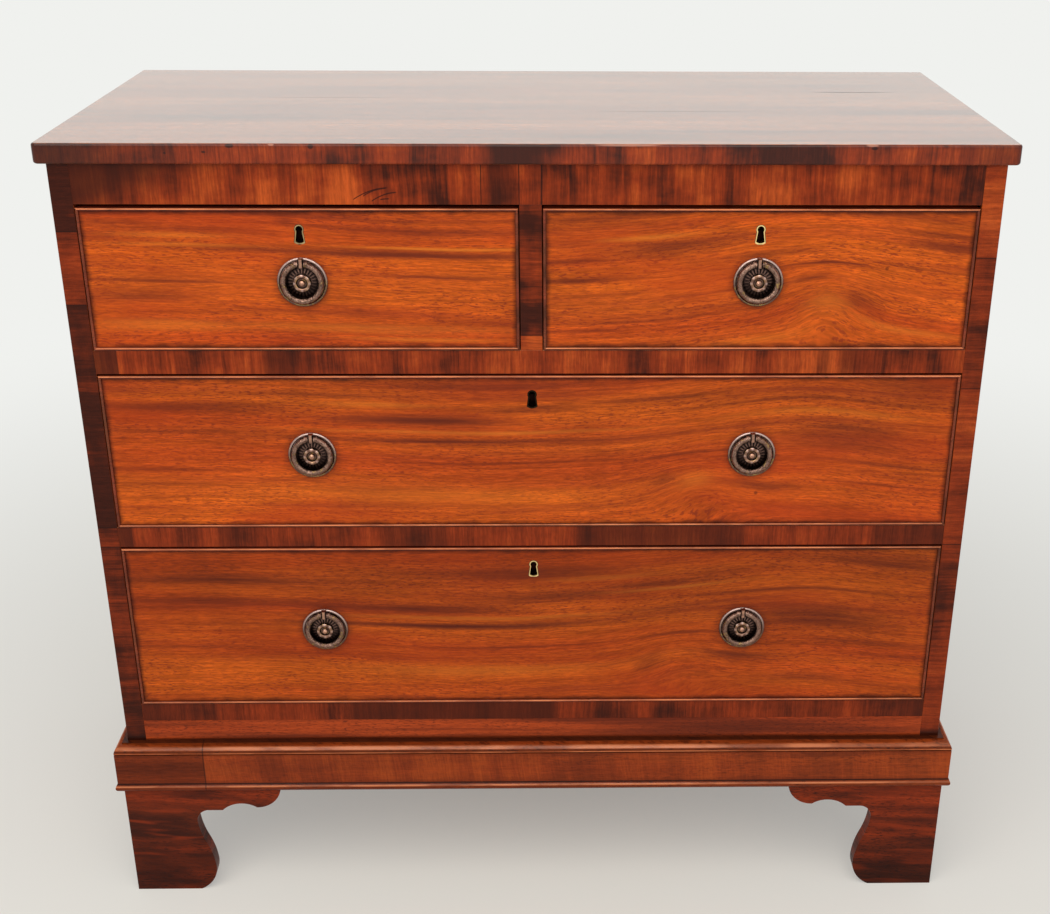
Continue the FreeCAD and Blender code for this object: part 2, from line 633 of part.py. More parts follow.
def handle_plate(x, z):
    """Back plate with a raised rim, radial flutes round the boss and a lug for the ring."""
    plate = turned(x, z, plate_outline)
    face = at_depth(DRAWER_SETBACK)
    hole = Part.makeCylinder(PIN_RADIUS + PIN_CLEARANCE, 2 * LUG_WIDTH,
                             Vector(x - LUG_WIDTH, face - RING_STANDOFF, z + RING_RADIUS), Vector(1, 0, 0))
    slope = math.atan2(DISH_RISE, DISH_RADIUS - BOSS_RADIUS)
    length = (DISH_RADIUS - BOSS_RADIUS) / math.cos(slope)
    flutes = []
    for i in range(FLUTE_COUNT):
        turn = 2 * math.pi * (i + 0.5) / FLUTE_COUNT
        radial = Vector(math.cos(turn), 0, math.sin(turn))
        fall = radial * math.cos(slope) + Vector(0, math.sin(slope), 0)
        inner = Vector(x, face - PLATE_THICKNESS - DISH_RISE, z) + radial * BOSS_RADIUS - fall * FLUTE_RUNOUT
        flutes.append(Part.makeCylinder(FLUTE_RADIUS, length + 2 * FLUTE_RUNOUT, inner, fall))
    return solid_of(joined([plate.cut(flutes), handle_lug(x, z)]).cut(hole))


def boss_outline(place):
    seat = PLATE_THICKNESS + DISH_RISE
    shoulder = seat + BOSS_HEIGHT / 2
    valley_radius = (KNOB_RADIUS + BOSS_RADIUS - BOSS_GROOVE) / 2
    points = [place(0, seat), place(BOSS_RADIUS, seat), place(BOSS_RADIUS, shoulder),
              place(valley_radius, shoulder), place(0, shoulder)]
    edges = [line(a, b) for a, b in zip(points, points[1:] + points[:1])]
    edges[2] = arc(points[2], place((valley_radius + BOSS_RADIUS) / 2, seat + BOSS_HEIGHT), points[3])
    return edges


def handle_bolt(x, z):
    """Rosette head with a scalloped edge, on a stem that passes through plate and drawer front."""
    seat = PLATE_THICKNESS + DISH_RISE
    head = turned(x, z, boss_outline)
    cuts = []
    for i in range(BOSS_LOBES):
        turn = 2 * math.pi * (i + 0.5) / BOSS_LOBES
        cuts.append(outward_cylinder(x + (BOSS_RADIUS + LOBE_CUT_RADIUS / 2) * math.cos(turn),
                                     z + (BOSS_RADIUS + LOBE_CUT_RADIUS / 2) * math.sin(turn),
                                     LOBE_CUT_RADIUS, 0, seat + 2 * BOSS_HEIGHT))
    stem_end = -(DRAWER_FRONT_THICKNESS + NUT_THICKNESS + STEM_SPARE)
    stem = outward_cylinder(x, z, STEM_RADIUS, stem_end, seat)
    knob_depth = DRAWER_SETBACK - seat - KNOB_HEIGHT + KNOB_RADIUS
    knob = Part.makeSphere(KNOB_RADIUS, Vector(x, at_depth(knob_depth), z))
    return joined([head.cut(cuts), stem, knob])


def handle_nut(x, z):
    outer = -DRAWER_FRONT_THICKNESS - NUT_THICKNESS
    y = at_depth(DRAWER_FRONT_BACK)
    corners = []
    for i in range(NUT_SIDES):
        turn = 2 * math.pi * i / NUT_SIDES
        corners.append(Vector(x + NUT_RADIUS * math.cos(turn), y, z + NUT_RADIUS * math.sin(turn)))
    nut = polygon_prism(corners, Vector(0, NUT_THICKNESS, 0))
    return nut.cut(outward_cylinder(x, z, STEM_RADIUS + STEM_CLEARANCE, outer, -DRAWER_FRONT_THICKNESS))


def handle_ring(x, z):
    """Ring that hangs from the lug on two short pins, with collars beside the lug."""
    y = at_depth(DRAWER_SETBACK - RING_STANDOFF)
    gap = LUG_WIDTH / 2 + LUG_SIDE_CLEARANCE
    ring = Part.makeTorus(RING_RADIUS, RING_TUBE_RADIUS, Vector(x, y, z), Vector(0, 1, 0))
    axis_z = z + RING_RADIUS
    reach = gap + 2 * COLLAR_LENGTH
    mouth = Part.makeBox(2 * reach, 4 * RING_TUBE_RADIUS, 4 * RING_TUBE_RADIUS,
                         Vector(x - reach, y - 2 * RING_TUBE_RADIUS, axis_z - 2 * RING_TUBE_RADIUS))
    pieces = [ring.cut(mouth)]
    for side in (-1, 1):
        along = Vector(side, 0, 0)
        inner = Vector(x + side * gap, y, axis_z)
        outer = inner + along * (COLLAR_LENGTH + COLLAR_GAP)
        neck = COLLAR_RADIUS - COLLAR_GAP
        pieces.append(Part.makeCylinder(COLLAR_RADIUS, COLLAR_LENGTH, inner, along))
        pieces.append(Part.makeCylinder(neck, 2 * COLLAR_LENGTH + 2 * COLLAR_GAP, inner, along))
        pieces.append(Part.makeCylinder(COLLAR_RADIUS, 2 * COLLAR_LENGTH, outer, along))
        pieces.append(Part.makeCylinder(PIN_RADIUS, PIN_LENGTH + COLLAR_LENGTH,
                                        inner - along * PIN_LENGTH, along))
    return joined(pieces)


# Drawers

def drawer(name, x0, x1, opening_foot, opening_height, top_gap, tail_count, handle_xs):
    """Builds one drawer in the opening between x0 and x1, with its lock and handles."""
    left = x0 + DRAWER_SIDE_CLEARANCE
    right = x1 - DRAWER_SIDE_CLEARANCE
    foot = opening_foot + DRAWER_RUNNING_CLEARANCE
    top = opening_foot + opening_height - top_gap
    side_top = top - DRAWER_SIDE_DROP
    inner_left = left + DRAWER_SIDE_THICKNESS
    inner_right = right - DRAWER_SIDE_THICKNESS
    bottom_foot = foot + DRAWER_BOTTOM_RAISE
    back_foot = bottom_foot + DRAWER_BOTTOM_THICKNESS
    back_top = side_top - DRAWER_BACK_DROP
    middle = (x0 + x1) / 2
    key_z = top - KEYHOLE_DROP
    handle_z = opening_foot + opening_height / 2 - HANDLE_DROP

    bottom = block(inner_left - GROOVE_DEPTH, inner_right + GROOVE_DEPTH,
                   DRAWER_FRONT_BACK - GROOVE_DEPTH, DRAWER_END, bottom_foot, back_foot)
    sides = [drawer_side(outer0, outer1, foot, side_top, back_foot, back_top, tail_count, bottom)
             for outer0, outer1 in ((left, inner_left), (inner_right, right))]
    back = block(left, right, DRAWER_END - DRAWER_BACK_THICKNESS, DRAWER_END, back_foot, back_top)

    lock_space, lock = lock_case(middle, top, key_z)
    lock_face = DRAWER_FRONT_BACK - LOCK_THICKNESS
    liner_end = DRAWER_SETBACK + LINER_DEPTH
    key_way = keyhole(middle, key_z, 0, DRAWER_SETBACK, lock_face)
    liner_space = keyhole(middle, key_z, LINER_THICKNESS, DRAWER_SETBACK, liner_end)

    edge = COCK_BEAD_WIDTH
    bead_end = DRAWER_SETBACK + COCK_BEAD_DEPTH
    panel = block(left + edge, right - edge, DRAWER_SETBACK, bead_end, foot + edge, top - edge)
    rabbet = block(left, right, DRAWER_SETBACK, bead_end, foot, top).cut(panel)
    stem_holes = [outward_cylinder(x, handle_z, STEM_RADIUS + STEM_CLEARANCE, -DRAWER_FRONT_THICKNESS, 0)
                  for x in handle_xs]
    front = block(left, right, DRAWER_SETBACK, DRAWER_FRONT_BACK, foot, top)
    front = front.cut(sides + [bottom, rabbet, lock_space, key_way, liner_space] + stem_holes)

    write(name + "_front", front)
    write(name + "_sides", *sides)
    write(name + "_back", back.cut(sides))
    write(name + "_bottom", bottom)
    write(name + "_cock_beads", *cock_beads(left, right, foot, top))
    write(name + "_lock", lock, liner_space.cut(key_way))
    write(name + "_lock_bolt", lock_bolt(middle, top))
    fittings = []
    for x in handle_xs:
        fittings += [handle_plate(x, handle_z), handle_bolt(x, handle_z), handle_nut(x, handle_z)]
    write(name + "_handle_plates", *fittings)
    for x in handle_xs:
        suffix = "" if len(handle_xs) == 1 else "_left" if x < middle else "_right"
        write(name + suffix + "_ring", handle_ring(x, handle_z))


# Each drawer: name, opening's left and right, foot and height, gap at the top, tails, handle places
SHORT_MIDDLE = (HALF_MUNTIN + HALF_OPENING) / 2
LONG_HANDLES = [-HANDLE_SPACING / 2, HANDLE_SPACING / 2]
DRAWERS = [
    ("short_left", -HALF_OPENING, -HALF_MUNTIN, SHORT_OPENING_FOOT, SHORT_OPENING_HEIGHT,
     SHORT_DRAWER_TOP_GAP, SHORT_DRAWER_TAILS, [-SHORT_MIDDLE]),
    ("short_right", HALF_MUNTIN, HALF_OPENING, SHORT_OPENING_FOOT, SHORT_OPENING_HEIGHT,
     SHORT_DRAWER_TOP_GAP, SHORT_DRAWER_TAILS, [SHORT_MIDDLE]),
    ("upper_long", -HALF_OPENING, HALF_OPENING, UPPER_OPENING_FOOT, UPPER_OPENING_HEIGHT,
     LONG_DRAWER_TOP_GAP, LONG_DRAWER_TAILS, LONG_HANDLES),
    ("lower_long", -HALF_OPENING, HALF_OPENING, LOWER_OPENING_FOOT, LOWER_OPENING_HEIGHT,
     LONG_DRAWER_TOP_GAP, LONG_DRAWER_TAILS, LONG_HANDLES),
]


def build_case():
    centre_tenon = muntin()
    frieze = tenoned_rail(FRIEZE_FOOT, FRIEZE_HEIGHT, FRIEZE_DEPTH)
    upper = tenoned_rail(UPPER_RAIL_FOOT, UPPER_RAIL_HEIGHT, RAIL_DEPTH)
    lower = tenoned_rail(LOWER_RAIL_FOOT, LOWER_RAIL_HEIGHT, RAIL_DEPTH)
    lowest = tenoned_rail(BOTTOM_RAIL_FOOT, BOTTOM_RAIL_HEIGHT, RAIL_DEPTH)
    half_floor = HALF_OPENING + HOUSING_DEPTH
    floor = block(-half_floor, half_floor, BASE_STRIP_THICKNESS, BACK_INNER,
                  BOTTOM_RAIL_FOOT - BOTTOM_BOARD_THICKNESS, BOTTOM_RAIL_FOOT)
    runner_shapes = runners()
    right_side = side_board([frieze, upper, lower, lowest, floor] + runner_shapes)

    write("top_board", top_board())
    write("right_side", right_side)
    write("left_side", mirrored(right_side))
    write("bottom_board", floor)
    frieze_mortises = [bolt_mortise(x, FRIEZE_FOOT) for x in (-SHORT_MIDDLE, SHORT_MIDDLE)]
    write("frieze_rail", frieze.cut([centre_tenon] + frieze_mortises))
    write("upper_drawer_rail", upper.cut([centre_tenon, bolt_mortise(0, UPPER_RAIL_FOOT)]))
    write("lower_drawer_rail", lower.cut(bolt_mortise(0, LOWER_RAIL_FOOT)))
    write("bottom_drawer_rail", lowest)
    write("base_strip", block(-HALF_OPENING, HALF_OPENING, 0, BASE_STRIP_THICKNESS,
                              PLINTH_TOP - BASE_STRIP_LAP, BOTTOM_RAIL_FOOT))
    write("centre_muntin", centre_tenon)
    write("drawer_runners", *runner_shapes)
    write("kickers", *kickers())
    stops = []
    for drawer_values in DRAWERS:
        stops += stops_for(drawer_values[1], drawer_values[2], drawer_values[3])
    write("drawer_stops", *stops)
    write("back_boards", *back_boards())


def build_base():
    side = plinth_side()
    write("plinth_front", plinth_front())
    write("plinth_right", side)
    write("plinth_left", mirrored(side))
    for name, shapes in (("front", front_foot()), ("rear", rear_foot())):
        write(name + "_right_foot", *shapes)
        write(name + "_left_foot", *[mirrored(shape) for shape in shapes])
    write("glue_blocks", *glue_blocks())


os.makedirs("parts", exist_ok=True)
build_case()
build_base()
for values in DRAWERS:
    drawer(*values)
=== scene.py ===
import math
import bpy
from mathutils import Matrix, Vector


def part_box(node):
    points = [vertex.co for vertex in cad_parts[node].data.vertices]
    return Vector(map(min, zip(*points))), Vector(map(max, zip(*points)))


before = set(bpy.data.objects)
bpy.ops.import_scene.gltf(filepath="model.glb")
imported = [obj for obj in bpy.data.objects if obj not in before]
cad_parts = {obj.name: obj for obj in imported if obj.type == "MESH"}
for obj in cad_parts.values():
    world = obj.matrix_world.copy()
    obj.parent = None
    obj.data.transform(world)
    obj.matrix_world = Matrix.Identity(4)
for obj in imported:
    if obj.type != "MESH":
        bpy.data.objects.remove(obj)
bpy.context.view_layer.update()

# A mahogany chest of drawers: two short drawers over two long ones, with ring handles.
# Metres. +X is right, +Y is towards the back and +Z is up.

MM = 0.001
DRAWERS = ("short_left", "short_right", "upper_long", "lower_long")
RINGS = ("short_left_ring", "short_right_ring", "upper_long_left_ring", "upper_long_right_ring",
         "lower_long_left_ring", "lower_long_right_ring")
RAILS = ("frieze_rail", "upper_drawer_rail", "lower_drawer_rail", "bottom_drawer_rail")
FEET = ("front_left_foot", "front_right_foot", "rear_left_foot", "rear_right_foot")
PLINTH_PIECES = ("plinth_front", "plinth_left", "plinth_right")
# Boards side by side in the back
BACK_BOARD_COUNT = 5
# The pattern chased into the rings: how deep it goes, and the size of its cells
CHASING_DEPTH = 0.25 * MM
CHASING_SIZE = 2.4 * MM
# How much lighter or darker the crossbanding of each rail is
RAIL_SHIFTS = {"frieze_rail": 0.01, "upper_drawer_rail": 0.025, "lower_drawer_rail": 0.02,
               "bottom_drawer_rail": -0.03}
# How strongly each rail's stripes stand out
RAIL_SPREADS = {"frieze_rail": 1.0, "upper_drawer_rail": 0.85, "lower_drawer_rail": 0.6,
                "bottom_drawer_rail": 0.5}
# Length of the dark piece at the left end of a rail
DARK_ENDS = {"upper_drawer_rail": 22 * MM, "lower_drawer_rail": 14 * MM}
# Dark pieces further along a rail, in millimetres: left end, right end and strength
DARK_PIECES = {
    "upper_drawer_rail": [(-273, -237, 0.6), (-231, -222, 0.5), (292, 305, 0.5), (315, 337, 0.5)],
    "lower_drawer_rail": [(-337, -310, 0.5), (-163, -93, 0.5), (47, 227, 0.65), (365, 450, 0.5)],
    "bottom_drawer_rail": [(-450, -381, 0.5), (-207, 24, 0.75), (412, 450, 0.6)],
}
# How far the ends of those pieces fade to each side, in millimetres
DARK_PIECE_FADE = 6
# The frieze: a patch let in left of the muntin, how far right of the middle it gets lighter, and by how much
FRIEZE_PATCH_WIDTH = 37 * MM
FRIEZE_LIGHTER_REACH = 0.25
FRIEZE_LIGHTER_SHIFT = 0.05
# The frieze's left end is dark: where that starts and is full, from the opening's side, and how it slants
FRIEZE_DARK_END = (80 * MM, -20 * MM)
FRIEZE_SLANT = 2.2
# The piece let in at the muntin's foot, and how light the banding is above it and on it
MUNTIN_PATCH_HEIGHT = 16 * MM
MUNTIN_SHIFTS = (-0.15, 0.04)
# Half widths of the dark joints in the veneer of the frieze and muntin, the stiles and the plinth
SEAM_HALF_WIDTH = 0.8 * MM
STILE_JOINT_HALF_WIDTH = 0.7 * MM
PLINTH_JOINT_HALF_WIDTH = 1.2 * MM
# The plinth: heights of its top moulding and of the bead at its foot, and the old joint, from its left end
PLINTH_MOULDING_HEIGHT = 11 * MM
PLINTH_BEAD_HEIGHT = 9 * MM
PLINTH_JOINT = 103 * MM
# Painted shade on the feet: darker from this height down to this shade at the floor
FOOT_DARK_HEIGHT = 90 * MM
FOOT_FLOOR_SHADE = 0.48
# The edge of the top: a dark patch (middle and half width), and where each end's darkening starts and is full
TOP_PATCH = (-12 * MM, 45 * MM)
TOP_LEFT_END = (140 * MM, 30 * MM)
TOP_RIGHT_END = (80 * MM, 20 * MM)
# The painted highlight on the worn arris of the top: its middle, below the top, and its half height
ARRIS_DROP = 1.0 * MM
ARRIS_HALF_HEIGHT = 1.1 * MM
# The banding on the front edge of each side is pieced: top end of each piece, and how light it is
STILE_PIECES = {"left_side": ((0.449, -0.09), (0.472, -0.02), (0.718, -0.11), (0.792, -0.03), (0.859, -0.11)),
                "right_side": ((0.449, 0.0), (0.628, 0.03), (0.766, 0.0), (0.859, 0.07))}

# Edges sharper than this many degrees are rounded, and points closer than this are joined first
EDGE_ANGLE = 40
WELD_DISTANCE = 0.001 * MM
# How far the edges of the plain boards are rounded
EDGE_WIDTHS = {"left_side": 0.0007, "right_side": 0.0007, "centre_muntin": 0.0003, "base_strip": 0.0003,
               "back_boards": 0.0008, "bottom_board": 0.0008, "drawer_stops": 0.0008,
               "drawer_runners": 0.0008, "kickers": 0.0008}
EDGE_WIDTHS.update({rail: 0.0003 for rail in RAILS})
EDGE_WIDTHS.update({piece: 0.0004 for piece in PLINTH_PIECES})
for drawer in DRAWERS:
    EDGE_WIDTHS.update({drawer + "_sides": 0.0006, drawer + "_back": 0.0006, drawer + "_lock_bolt": 0.0004})


def tone(red, green, blue):
    """A display colour, 0 to 255, as the linear values that a shader takes."""
    linear = []
    for value in (red, green, blue):
        share = value / 255
        linear.append(share / 12.92 if share <= 0.04045 else ((share + 0.055) / 1.055) ** 2.4)
    return (*linear, 1.0)


# Wood tones
GOLDEN = tone(222, 122, 38)
ORANGE = tone(206, 93, 22)
RUSSET = tone(184, 71, 19)
RED = tone(172, 56, 18)
BROWN = tone(136, 49, 23)
STREAK = tone(104, 38, 20)
UMBER = tone(74, 28, 15)
NEAR_BLACK = tone(26, 11, 8)
BAND_LIGHT = tone(184, 80, 30)
BAND_MIDDLE = tone(138, 50, 18)
BAND_DARK = tone(62, 22, 10)
PLINTH_LIGHT = tone(174, 76, 28)
PLINTH_MIDDLE = tone(142, 56, 22)
PLINTH_DARK = tone(92, 35, 16)
FOOT_LIGHT = tone(146, 52, 20)
FOOT_MIDDLE = tone(94, 36, 16)
FOOT_DARK = tone(50, 19, 11)
STRIP_LIGHT = tone(174, 70, 28)
STRIP_MIDDLE = tone(138, 51, 23)
STRIP_DARK = tone(88, 33, 18)
TOP_LIGHT = tone(196, 118, 68)
TOP_MIDDLE = tone(160, 88, 46)
TOP_DARK = tone(84, 42, 24)
BEAD_LIGHT = tone(120, 46, 30)
BEAD_DARK = tone(84, 30, 20)
# Tone of worn edges, also used for painted highlights on beads and mouldings
WORN_GLEAM_EDGE = tone(222, 132, 84)
# Tone of painted highlights on the top's arris
PAINTED_GLEAM_EDGE = tone(214, 148, 122)
SIDE_LIGHT = tone(174, 80, 34)
SIDE_MIDDLE = tone(130, 54, 24)
SIDE_DARK = tone(72, 30, 16)
OAK = tone(188, 136, 92)
OAK_DARK = tone(134, 88, 54)
PINE = tone(200, 148, 102)
PINE_DARK = tone(140, 92, 60)

# Metal tones
BRONZE = tone(116, 88, 77)
BRONZE_DARK = tone(38, 28, 26)
# Tone of painted highlights on bronze
PAINTED_BRONZE_HIGHLIGHT = tone(186, 160, 152)
BRONZE_RED = tone(150, 118, 102)
COPPER = tone(190, 142, 120)
BRASS = tone(250, 216, 148)
BRASS_DULL = tone(138, 116, 88)
GILT = tone(168, 136, 82)

# The figure of each drawer front, in millimetres from its middle.
# Arches: middle across and up, half width, half height, and how strongly the grain swells there.
ARCHES = {
    "short_left": (100, 90, 90, 30, 0.4),
    "short_right": (72, -62, 46, 52, 0.88),
    "upper_long": (178, -72, 52, 48, 0.88),
    "lower_long": (166, -78, 56, 52, 0.84),
}
# Waves of the grain: middle, half width and rise.
LONG_WAVES = [(-50, 180, -8), (285, 110, 14)]
WAVES = {
    "short_left": [(-230, 200, 6), (230, 160, -5)],
    "short_right": [(55, 140, 20)],
    "upper_long": LONG_WAVES,
    "lower_long": LONG_WAVES,
}
# Dark streaks: middle across and up, half length, half height and strength.
STREAKS = {
    "short_left": [
        (90, 27, 150, 4.2, 0.9), (130, 52, 105, 5.5, 0.65), (-135, 0, 90, 2.2, 0.75),
        (-160, -16, 55, 3.5, 0.5),
        (150, 2, 70, 2, 0.65), (-110, 52, 80, 4, 0.4), (-30, 31, 100, 3.6, 0.65), (20, 67, 200, 3, 0.5),
        (-185, 58, 50, 4, 0.4), (-120, -33, 80, 1.6, 0.3), (-12, 61, 11, 4.5, 0.6), (55, -31, 5, 2.5, 0.5)],
    "short_right": [
        (-85, 34, 62, 8, 0.7), (-185, -1, 55, 3.4, 0.85), (-190, 20, 45, 3, 0.6), (-160, 63, 70, 6, 0.6),
        (70, 12, 50, 2.4, 0.95), (48, -8, 28, 3, 0.65), (104, -32, 20, 9, 0.6), (185, 45, 55, 3, 0.65),
        (192, 33, 45, 5, 0.85), (140, 64, 90, 6, 0.5), (-110, -42, 90, 2.2, 0.6), (-180, -53, 60, 2.4, 0.5),
        (20, 28, 60, 4, 0.5), (150, 12, 70, 2, 0.5), (-50, -28, 60, 2, 0.45)],
    "upper_long": [
        (-350, 52, 100, 6, 0.75), (-110, 36, 85, 5, 0.95), (-80, 12, 180, 3.2, 1.0), (0, 49, 55, 4.5, 0.75),
        (-60, 73, 110, 4.5, 0.5), (130, 60, 70, 3.5, 0.65), (290, 60, 140, 2.2, 0.75),
        (325, 14, 76, 15, 0.6), (330, 25, 60, 5, 0.75),
        (365, -16, 90, 2.6, 0.65), (160, -8, 50, 2.6, 0.8), (243, -44, 40, 6, 0.65), (-380, -18, 80, 3, 0.5),
        (-30, -13, 110, 1.6, 0.55), (-370, 24, 90, 3, 0.5), (395, 72, 70, 7, 0.55), (138, -44, 16, 8, 0.55),
        (-390, -34, 60, 2.2, 0.5), (370, -40, 80, 2, 0.45), (-230, 66, 70, 4, 0.5)],
    "lower_long": [
        (-340, 60, 120, 6, 0.8), (-110, 24, 90, 5.5, 0.95), (-80, 2, 190, 3.6, 1.0), (-20, 66, 130, 8, 0.7),
        (30, 39, 85, 7, 0.65), (130, 52, 60, 3.5, 0.65), (280, 46, 150, 2.4, 0.75), (315, 8, 80, 13, 0.9),
        (375, -24, 80, 3.4, 0.65), (165, -18, 50, 2.6, 0.75), (222, -44, 42, 6, 0.75),
        (-370, -26, 80, 2.6, 0.5),
        (0, -25, 110, 1.5, 0.5), (-350, 34, 120, 4, 0.55), (390, 78, 90, 9, 0.6), (128, -58, 16, 9, 0.5),
        (300, -66, 50, 5, 0.5), (400, -42, 60, 2.4, 0.5), (-310, 4, 70, 2, 0.55)],
}
# Light streaks, in the same way.
GLEAMS = {
    "short_left": [(140, 32.5, 90, 1.6, 0.8), (60, -50, 150, 5, 0.4), (-150, -46, 90, 6, 0.45),
                   (-110, 36, 70, 2, 0.5), (-130, 46, 60, 3, 0.4), (120, -62, 80, 2.5, 0.45)],
    "short_right": [(-110, 44, 45, 2.6, 0.6), (72, -40, 26, 12, 0.45), (150, -54, 60, 4, 0.45),
                    (0, -62, 50, 4, 0.3)],
    "upper_long": [(-60, 22, 160, 2.5, 0.6), (300, 45, 100, 4, 0.4), (172, -50, 18, 10, 0.4),
                   (-100, -50, 160, 10, 0.3), (-160, 54, 60, 3, 0.45)],
    "lower_long": [(-60, 12, 150, 2.5, 0.5), (150, 47, 80, 2, 0.6), (-60, -56, 130, 7, 0.45),
                   (70, 60, 60, 3, 0.4)],
}
# Painted light and shade: how bright each front is painted at its foot and at its top, darker on the lower
# drawers and towards their tops.
PAINTED_LIGHT_LEVELS = {"short_left": (1.02, 1.0), "short_right": (1.04, 0.98), "upper_long": (1.02, 0.84),
          "lower_long": (0.86, 0.68)}
# Keyhole liners: how bright the brass is, and what its colour is multiplied by; the upper long drawer's liner
# is painted near-black, standing in for the shade of a bare keyhole.
LINER_BRIGHTNESS = {"short_left": 0.3, "short_right": 1.0, "upper_long": 0.0, "lower_long": 0.9}
LINER_SHADES = {"short_left": 1.0, "short_right": 1.1, "upper_long": 0.08, "lower_long": 1.0}
# Keyholes: the middle, below the front's top edge, and the half width and half height inside which painted
# shade fills the hole.
KEYHOLE_DROP = 26.3 * MM
KEYHOLE_REACH = (5 * MM, 10 * MM)
# Their outline: heights of the round head and of the foot from the middle, the head's radius, half widths.
KEYHOLE_HEAD = 5.2 * MM
KEYHOLE_FOOT = -8.6 * MM
KEYHOLE_ROUND_RADIUS = 3.4 * MM
KEYHOLE_HALF_WAIST = 2.4 * MM
KEYHOLE_HALF_BASE = 4.2 * MM
# The liner: how far outside the hole it is bright, where it ends, and how far behind the face it ends.
# Here and below, a pair is where a change starts and where it is full.
LINER_BRIGHT_WIDTH = 1.0 * MM
LINER_END = (3 * MM, 2.5 * MM)
LINER_DEPTH = (8 * MM, 7 * MM)
# Painted shade: the lock is painted black in the hole from the first depth behind the face to the second.
HOLE_DARK_START = (0.8 * MM, 3 * MM)
HOLE_DARK_END = (20.5 * MM, 18 * MM)
# Handle plates, from the axis out: the boss's groove (middle, half width), its petals, flutes, lug and rim.
BOSS_GROOVE = (4.8 * MM, 1.0 * MM)
PETALS_INSIDE = (6.2 * MM, 6.8 * MM)
PETALS_OUTSIDE = (9.5 * MM, 9 * MM)
PETAL_COUNT = 8.0
FLUTES_OUTSIDE = (15.5 * MM, 15 * MM)
LUG_INSIDE = (13 * MM, 14 * MM)
RIM_INSIDE = (20.5 * MM, 22.2 * MM)
# How far out from the drawer the ribs between the flutes, the lug, raised metal and rubbed metal stand.
RIB_STAND = (1.3 * MM, 1.9 * MM)
LUG_STAND = (3 * MM, 4 * MM)
RAISED_STAND = (3.8 * MM, 6.2 * MM)
RUBBED_STAND = (6 * MM, 7.8 * MM)
# Old scratches on the frieze: left end, length, height above the rail's foot, and rise.
SCRATCHES = [(-173, 36, 4.5, 12), (-163, 24, 8, 8), (-146, 9, 5, 0.8), (-155, 26, 3, 9)]
# Knocks on the front edge of the top: middle across, depth below the top, half width and half height.
KNOCKS = [(-311, 8, 2.5, 1.2), (-286, 2, 5, 2.5), (-209, 2.5, 3.5, 3), (-348, 9, 1.5, 1), (331, 3.5, 4, 2)]
# Where a highlight is painted on the worn arris of the top's front edge: left and right ends.
ARRIS_GLEAMS = [(-250, -243), (58, 130), (322, 336)]
# Cracks in the top: left end, right end, place from front to back, half width and strength.
CRACKS = [(306, 416, 78, 2.2, 0.9), (50, 250, -44, 1.5, 0.35), (-320, -130, 36, 1.5, 0.3)]
FIGURE_SEEDS = {"short_left": 1, "short_right": 2, "upper_long": 3, "lower_long": 4}
# The figure's tables are turned into metres here.
for name in DRAWERS:
    ARCHES[name] = [value * MM for value in ARCHES[name][:4]] + [ARCHES[name][4]]
    WAVES[name] = [[value * MM for value in wave] for wave in WAVES[name]]
    for marks in (STREAKS, GLEAMS):
        marks[name] = [[value * MM for value in mark[:4]] + [mark[4]] for mark in marks[name]]


